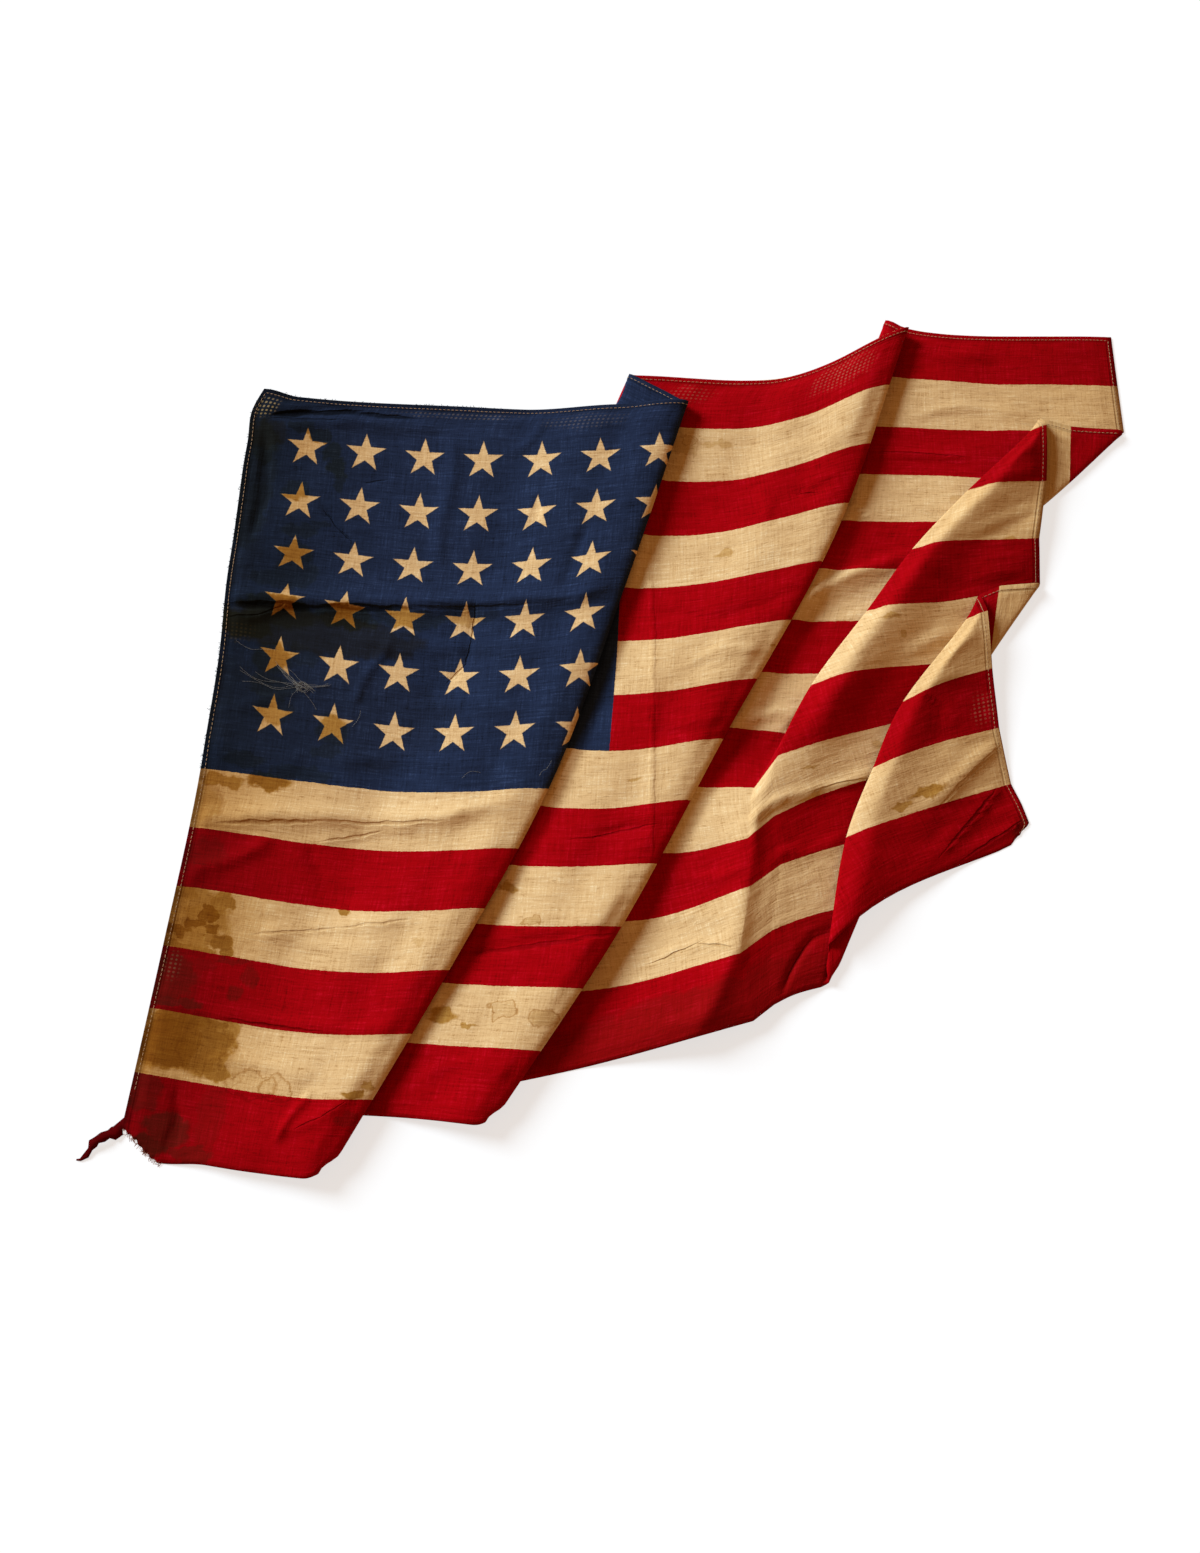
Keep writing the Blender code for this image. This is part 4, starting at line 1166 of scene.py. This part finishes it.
def dirtied_and_shaded(n, flat, cloth, pale):
    """Stains darken print and cream and dry with a darker rim. Smoke, and patches of painted shade,
    darken only the dyes.
    """
    place = flat.along + flat.strays(0.012, 0.017, 4.0), flat.down + flat.strays(0.010, 0.015, 4.0)
    soaked, rims = stained(n, STAINS, *place, flat.blotches)
    cloth = n.dim(n.smooth(soaked, 0.0, 0.65) * pale, cloth, YELLOWED)
    cloth = n.dim(soaked * (0.75 + flat.patches * 0.5), cloth, n.mix(pale, TEA_DYE, TEA_CREAM))
    cloth = n.dim(rims * 0.8, cloth, TIDE_AND_CREASE_SHADE)
    # Smoke and the patches of painted shade dim the dyes and take them a little towards soot.
    smoke_and_shade = n.most(*stained(n, SMUDGES_AND_PAINTED_SHADE, *place, flat.blotches)) * (1.0 - pale)
    cloth = n.dim(smoke_and_shade, cloth, SMOKE_AND_SHADE)
    return n.mix(smoke_and_shade * 0.20, cloth, SOOT_AND_SHADE)


def printed_cotton(name, reverse):
    """Printed cotton, from its printed side or from its reverse."""
    n = Nodes(bpy.data.materials.new(name))
    flat = FlatCloth(n)
    cloth, pale = printed(n, flat)
    cloth, seam = hemmed(n, flat, cloth)
    cloth = aged_and_shaded(n, flat, cloth, pale)
    crumple = (flat.stretched(CRUMPLE, 3.0, 0.45, "RIDGED_MULTIFRACTAL")
               * n.smooth(flat.patches, 0.35, 0.65))
    height = (flat.yarns * YARNS_HIGH + flat.slub * SLUB_HIGH
              + flat.stretched(WRINKLES, 3.0) * WRINKLES_HIGH
              + crumple * CRUMPLE_HIGH - seam * SEAM_DEEP)
    if not reverse:
        cloth = dirtied_and_shaded(n, flat, cloth, pale)
        pressed = pressed_creases(n, flat.along + flat.strays(0.012, 0.004),
                                  flat.down + flat.strays(0.014, 0.004))
        # Painted shade: the thin creases are darkened along their line, on top of their relief.
        cloth = n.dim(n.smooth(pressed, 0.0, 2.4) * 0.95, cloth, n.mix(pale, GRIME_AND_SHADE, TIDE_AND_CREASE_SHADE))
        height = height - pressed * PRESSED_DEEP
    bump = n.add("ShaderNodeBump", {}, {"Height": height, "Strength": 1.0, "Distance": 1.0})
    return n.shade({"Base Color": cloth, "Roughness": 0.84 + flat.yarns * 0.16,
                    "Specular IOR Level": 0.03, "Normal": bump})


def thread_material(name, shade):
    """Twisted cotton thread of one colour."""
    n = Nodes(bpy.data.materials.new(name))
    twist = n.grain(n.add("ShaderNodeTexCoord", {}, {}, "Object"), 0.0008)
    darker = tuple(level * 0.5 for level in shade[:3]) + (1.0,)
    bump = n.add("ShaderNodeBump", {}, {"Height": twist * 0.0001, "Distance": 1.0})
    return n.shade({"Base Color": n.mix(n.smooth(twist, 0.4, 0.7), shade, darker),
                    "Roughness": 0.85, "Normal": bump})


# ======================================================================================
# Stitching
# ======================================================================================

class Surface:
    """The laid-out cloth, to find a place on it from its place on the flat cloth."""

    def __init__(self, places, along, down):
        self.places, self.along, self.down = places, along, down

    def at(self, along, down):
        columns = self.down[:, self.down.shape[1] // 2]
        r = int(np.clip(np.searchsorted(columns, down) - 1, 0, len(columns) - 2))
        t = np.clip((down - columns[r]) / (columns[r + 1] - columns[r]), 0.0, 1.0)
        ends = [np.array([np.interp(along, self.along[row], self.places[row, :, axis])
                          for axis in range(3)]) for row in (r, r + 1)]
        return ends[0] * (1 - t) + ends[1] * t

    def axes(self, along, down, step=0.0008):
        """Unit directions along the fly, up the cloth and out of its printed side."""
        east = self.at(along + step, down) - self.at(along - step, down)
        north = self.at(along, down - step) - self.at(along, down + step)
        east, north = (v / max(np.linalg.norm(v), 1e-9) for v in (east, north))
        out = np.cross(east, north)
        return east, north, out / max(np.linalg.norm(out), 1e-9)


STITCH = 0.0027           # length of a stitch
STITCH_STEP = 0.0034      # from one stitch to the next
STITCH_WIDE = 0.0005
STITCH_HIGH = 0.0003
STITCH_IN = 0.0035        # how far the stitching runs inside the edge
STITCH_LEAN = 0.07        # how unevenly the stitches lean
STITCH_SINKS = 0.4        # how far their ends dip, as a share of their height
STITCH_RISES = 0.15       # how far their middles stand off the cloth, as a share of it


def one_stitch():
    """A stitch along X: a short bead of thread that dips at its ends."""
    bpy.ops.object.select_all(action="DESELECT")
    bpy.ops.mesh.primitive_uv_sphere_add(segments=6, ring_count=5, radius=0.5,
                                         rotation=(0, math.pi / 2, 0))
    bpy.ops.object.transform_apply(location=True, rotation=True, scale=True)
    bead = bpy.context.object
    bpy.ops.object.mode_set(mode="EDIT")
    bpy.ops.mesh.select_all(action="SELECT")
    bpy.ops.transform.resize(value=(STITCH, STITCH_WIDE, STITCH_HIGH))
    bpy.ops.object.mode_set(mode="OBJECT")
    points = np.array([vert.co for vert in bead.data.vertices])
    points[:, 2] -= (points[:, 0] / (STITCH / 2)) ** 2 * STITCH_HIGH * STITCH_SINKS
    faces = sorted(tuple(face.vertices) for face in bead.data.polygons)
    bpy.data.objects.remove(bead, do_unlink=True)
    return points, faces


def joined_copies(name, shape, places, material):
    """One mesh of many copies of a small shape, each turned to its own axes."""
    points, faces = shape
    verts = np.concatenate([place + points @ np.array(axes) for place, axes in places])
    verts[:, 2] = np.maximum(verts[:, 2], 0.0)
    every = [tuple(i + k * len(points) for i in face) for k in range(len(places)) for face in faces]
    mesh = bpy.data.meshes.new(name)
    mesh.from_pydata(verts.tolist(), [], every)
    mesh.shade_smooth()
    mesh.materials.append(material)
    return put(name, mesh)


def stitch_steps(end):
    """Distances of the stitches along a hem that stops at end."""
    count = int((end - STITCH_IN) / STITCH_STEP)
    return [STITCH_IN + (k + 0.5) * STITCH_STEP for k in range(count)]


def stitching(surface):
    """The three lines of hem stitches, on both sides of the cloth."""
    rng = np.random.default_rng(5)
    spots = [(along, STITCH_IN, False) for along in stitch_steps(FLY - STITCH_IN)]
    spots += [(STITCH_IN, down, True) for down in stitch_steps(TEAR_FROM * CM)]
    spots += [(FLY - STITCH_IN, down, True) for down in stitch_steps(DEEP - STITCH_IN)]
    places = []
    for along, down, upright in spots:
        east, north, out = surface.axes(along, down)
        way, across = (north, -east) if upright else (east, north)
        way = way + across * rng.normal(0, STITCH_LEAN)
        way = way / np.linalg.norm(way)
        for side in (1, -1):
            centre = surface.at(along, down) + out * side * (HEM / 2 + STITCH_HIGH * STITCH_RISES)
            centre[2] = max(centre[2], STITCH_HIGH / 2)
            places.append((centre, (way, np.cross(out * side, way), out * side)))
    return joined_copies("hem_stitches", one_stitch(), places,
                         thread_material("stitching thread", THREAD))


# ======================================================================================
# Loose threads
# ======================================================================================

FINE = 0.00008            # half the thickness of a hair of lint
YARN = 0.00016            # and of a yarn
TUFT_COPIES = 4
# Routes on the canton in centimetres on the flat cloth: the tangled hairs of a tuft of lint,
# each copied a few times, and single hairs.
TUFT = (
    ((5.0, 23.6), (5.6, 24.3), (6.4, 24.9), (7.3, 25.3)),
    ((5.3, 23.9), (6.0, 24.3), (6.7, 25.0), (7.6, 25.2)),
    ((6.4, 24.9), (7.2, 24.7), (7.7, 25.2), (7.1, 25.6), (6.6, 25.2)),
    ((6.9, 25.6), (6.6, 25.1), (7.1, 24.8), (7.5, 25.1), (8.1, 25.4)),
    ((6.7, 25.2), (7.6, 24.8), (8.4, 24.9), (9.2, 24.6)),
)
HAIRS = (
    ((2.0, 24.2), (3.0, 24.9), (4.4, 25.2), (5.8, 24.9), (7.1, 25.1)),
    ((1.6, 24.6), (3.2, 25.3), (5.0, 25.5), (6.4, 25.0), (7.2, 25.0)),
    ((2.1, 25.2), (3.4, 25.0), (4.8, 25.6), (6.2, 25.2), (7.2, 25.0)),
    ((3.2, 24.3), (4.2, 24.8), (5.4, 24.7), (6.6, 25.1)),
    ((1.2, 22.4), (2.4, 22.9), (3.4, 22.6), (4.6, 22.5)),
    ((7.2, 24.8), (6.5, 25.5), (6.3, 26.0), (6.3, 26.6)),
    ((7.3, 25.2), (8.3, 25.9), (8.6, 26.6)),
    ((11.2, 27.6), (11.7, 26.9), (11.6, 26.2)),
    ((20.2, 31.2), (20.5, 30.8), (21.1, 30.6), (21.6, 30.75)),
    ((26.2, 31.3), (26.5, 30.8), (27.0, 30.6), (27.2, 30.0)),
)
FRAYS = 70                # loose ends along the tear
FRAY_LONG = (0.0010, 0.0032)
FUZZ = 150                # short ends along the hoist and the top edge beside it
FUZZ_LONG = (0.0006, 0.0016)
FUZZ_TO = 0.20            # how far along the top edge they go
FRAYS_TO = -2.2           # direction of the tear's ends in radians, from along the fly
KNOT = (88.2, 59.4)       # place of a few pale ends at the fly's lower corner
KNOT_ENDS = 12
KNOT_TO = -0.6            # their direction
TUFT_SPREAD = 0.0012      # how far a copy of a hair lies from its route
HAIR_BENDS = 0.0007       # and each of its places besides
HAIR_HIGH = 0.0012        # how high a hair stands off the cloth
END_TURNS = 0.6           # how far a loose end strays from its direction, in radians
END_BENDS = 0.3           # how far it bends aside, as a share of its length
END_STARTS = (-0.3, 0.5)  # where it starts across the thickness of the cloth


def threads(name, routes, thick, material):
    """One mesh of thin threads along routes of places."""
    bpy.ops.object.select_all(action="DESELECT")
    curve = bpy.data.curves.new(name, "CURVE")
    curve.dimensions = "3D"
    curve.bevel_depth = thick
    curve.bevel_resolution = 0
    curve.resolution_u = 4
    for route in routes:
        spline = curve.splines.new("NURBS")
        spline.points.add(len(route) - 1)
        spline.use_endpoint_u = True
        spline.order_u = 3
        for point, place in zip(spline.points, route):
            point.co = (*place[:2], max(place[2], thick), 1.0)
    piece = put(name, curve)
    piece.select_set(True)
    bpy.context.view_layer.objects.active = piece
    bpy.ops.object.convert(target="MESH")
    piece = bpy.context.object
    piece.data.materials.clear()
    piece.data.materials.append(material)
    return piece


def loose_end(surface, rng, along, down, heading, longs):
    """A short bent end that leaves the cloth at a place, roughly in a direction on it."""
    east, north, out = surface.axes(along, down)
    way = heading + rng.normal(0, END_TURNS)
    far = rng.uniform(*longs)
    ahead = east * math.cos(way) + north * math.sin(way)
    aside = np.cross(out, ahead) * rng.normal(0, END_BENDS)
    start = surface.at(along, down) + out * rng.uniform(*END_STARTS) * CLOTH
    return [start - ahead * far * 0.3, start + ahead * far * 0.3,
            start + (ahead + aside) * far * 0.7 + out * far * 0.15,
            start + (ahead + aside * 2.0) * far]


def loose_threads(surface):
    """The tuft of lint, the frayed tear and the fuzz along the hoist."""
    rng = np.random.default_rng(11)
    lint = []
    for route in TUFT * TUFT_COPIES + HAIRS:
        shift = rng.normal(0, TUFT_SPREAD, 2)
        places = []
        for along, down in route:
            spot = np.array((along, down)) * CM + shift + rng.normal(0, HAIR_BENDS, 2)
            out = surface.axes(*spot)[2]
            places.append(surface.at(*spot) + out * (CLOTH + rng.uniform(0.0, HAIR_HIGH)))
        lint.append(places)
    tear = np.array(TEAR) * CM
    frays = []
    for _ in range(FRAYS):
        along = rng.uniform(0.0, tear[-1, 0])
        down = np.interp(along, *tear.T)
        frays.append(loose_end(surface, rng, along, down, FRAYS_TO, FRAY_LONG))
    for _ in range(KNOT_ENDS):
        lint.append(loose_end(surface, rng, *(np.array(KNOT) * CM), KNOT_TO, FRAY_LONG))
    fuzz = []
    for k in range(FUZZ):
        if k % 3:
            fuzz.append(loose_end(surface, rng, 0.0, rng.uniform(0.0, CANTON_STRIPES * STRIPE),
                                  math.pi, FUZZ_LONG))
        else:
            fuzz.append(loose_end(surface, rng, rng.uniform(0.0, FUZZ_TO), 0.0,
                                  math.pi / 2, FUZZ_LONG))
    return [threads("lint", lint, FINE, thread_material("lint", LINT_SHADE)),
            threads("frayed_ends", frays, YARN, thread_material("frayed yarn", FRAY_SHADE)),
            threads("edge_fuzz", fuzz, YARN, thread_material("dark yarn", FUZZ_SHADE))]


# ======================================================================================
# Floor, light and camera
# ======================================================================================

CAMERA_AT = (-0.0214, -0.2649, 1.0488)
CAMERA_TILT = 12.0        # degrees from looking straight down
SENSOR = 36.0             # millimetres along the longer side of the picture
FOCAL = 1400 / 1553 * SENSOR
KEY_FROM = (-0.74, 0.50, 0.46)  # direction of the key light from the flag
KEY_SOFTNESS = 24.0       # degrees across
KEY = (0.65, 0.81, 0.94)  # light that a flat white surface gets from the key
FILL = (0.36, 0.19, 0.075, 1.0)  # and from the rest of the room
SEEN_LIT = 0.34           # the floor as the camera sees it: how much light it sends back
SEEN_GLOW = 0.68          # and how much it adds


def make_floor():
    bpy.ops.object.select_all(action="DESELECT")
    bpy.ops.mesh.primitive_plane_add(size=8.0)
    floor = bpy.context.object
    floor.name = "floor"
    n = Nodes(bpy.data.materials.new("pale surface"))
    seen = n.add("ShaderNodeLightPath", {}, {}, "Is Camera Ray")
    floor.data.materials.append(n.shade({
        "Base Color": n.mix(seen, grey(0.8), grey(SEEN_LIT)),
        "Emission Color": n.mix(seen, grey(0.0), grey(SEEN_GLOW)),
        "Emission Strength": 1.0, "Specular IOR Level": 0.0, "Roughness": 0.9}))


def make_light():
    world = bpy.data.worlds.new("studio")
    bpy.context.scene.world = world
    n = Nodes(world, "Background")
    seen = n.add("ShaderNodeLightPath", {}, {}, "Is Camera Ray")
    n.shade({"Color": n.mix(seen, FILL, grey(1.0)), "Strength": 1.0})
    away = Vector(KEY_FROM).normalized()
    lamp = bpy.data.lights.new("key", "SUN")
    lamp.angle = math.radians(KEY_SOFTNESS)
    lamp.color = [level / KEY[2] for level in KEY]
    lamp.energy = KEY[2] * math.pi / away.z
    key = put("key", lamp)
    key.location = away
    key.rotation_euler = away.to_track_quat("Z", "Y").to_euler()


def make_camera():
    lens = bpy.data.cameras.new("camera")
    lens.lens = FOCAL
    lens.sensor_width = SENSOR
    camera = put("camera", lens)
    camera.location = CAMERA_AT
    camera.rotation_euler = (math.radians(CAMERA_TILT), 0.0, 0.0)
    bpy.context.scene.camera = camera


make_camera()
make_light()
make_floor()
bpy.context.scene.view_settings.view_transform = "Standard"

laid_out = lay_out_cloth()
cloth = make_cloth(*tear(*laid_out))
surface = Surface(*laid_out[:3])
fixings = [stitching(surface), *loose_threads(surface)]

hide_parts("flag")
for piece in (cloth, *fixings):
    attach(piece, "root")
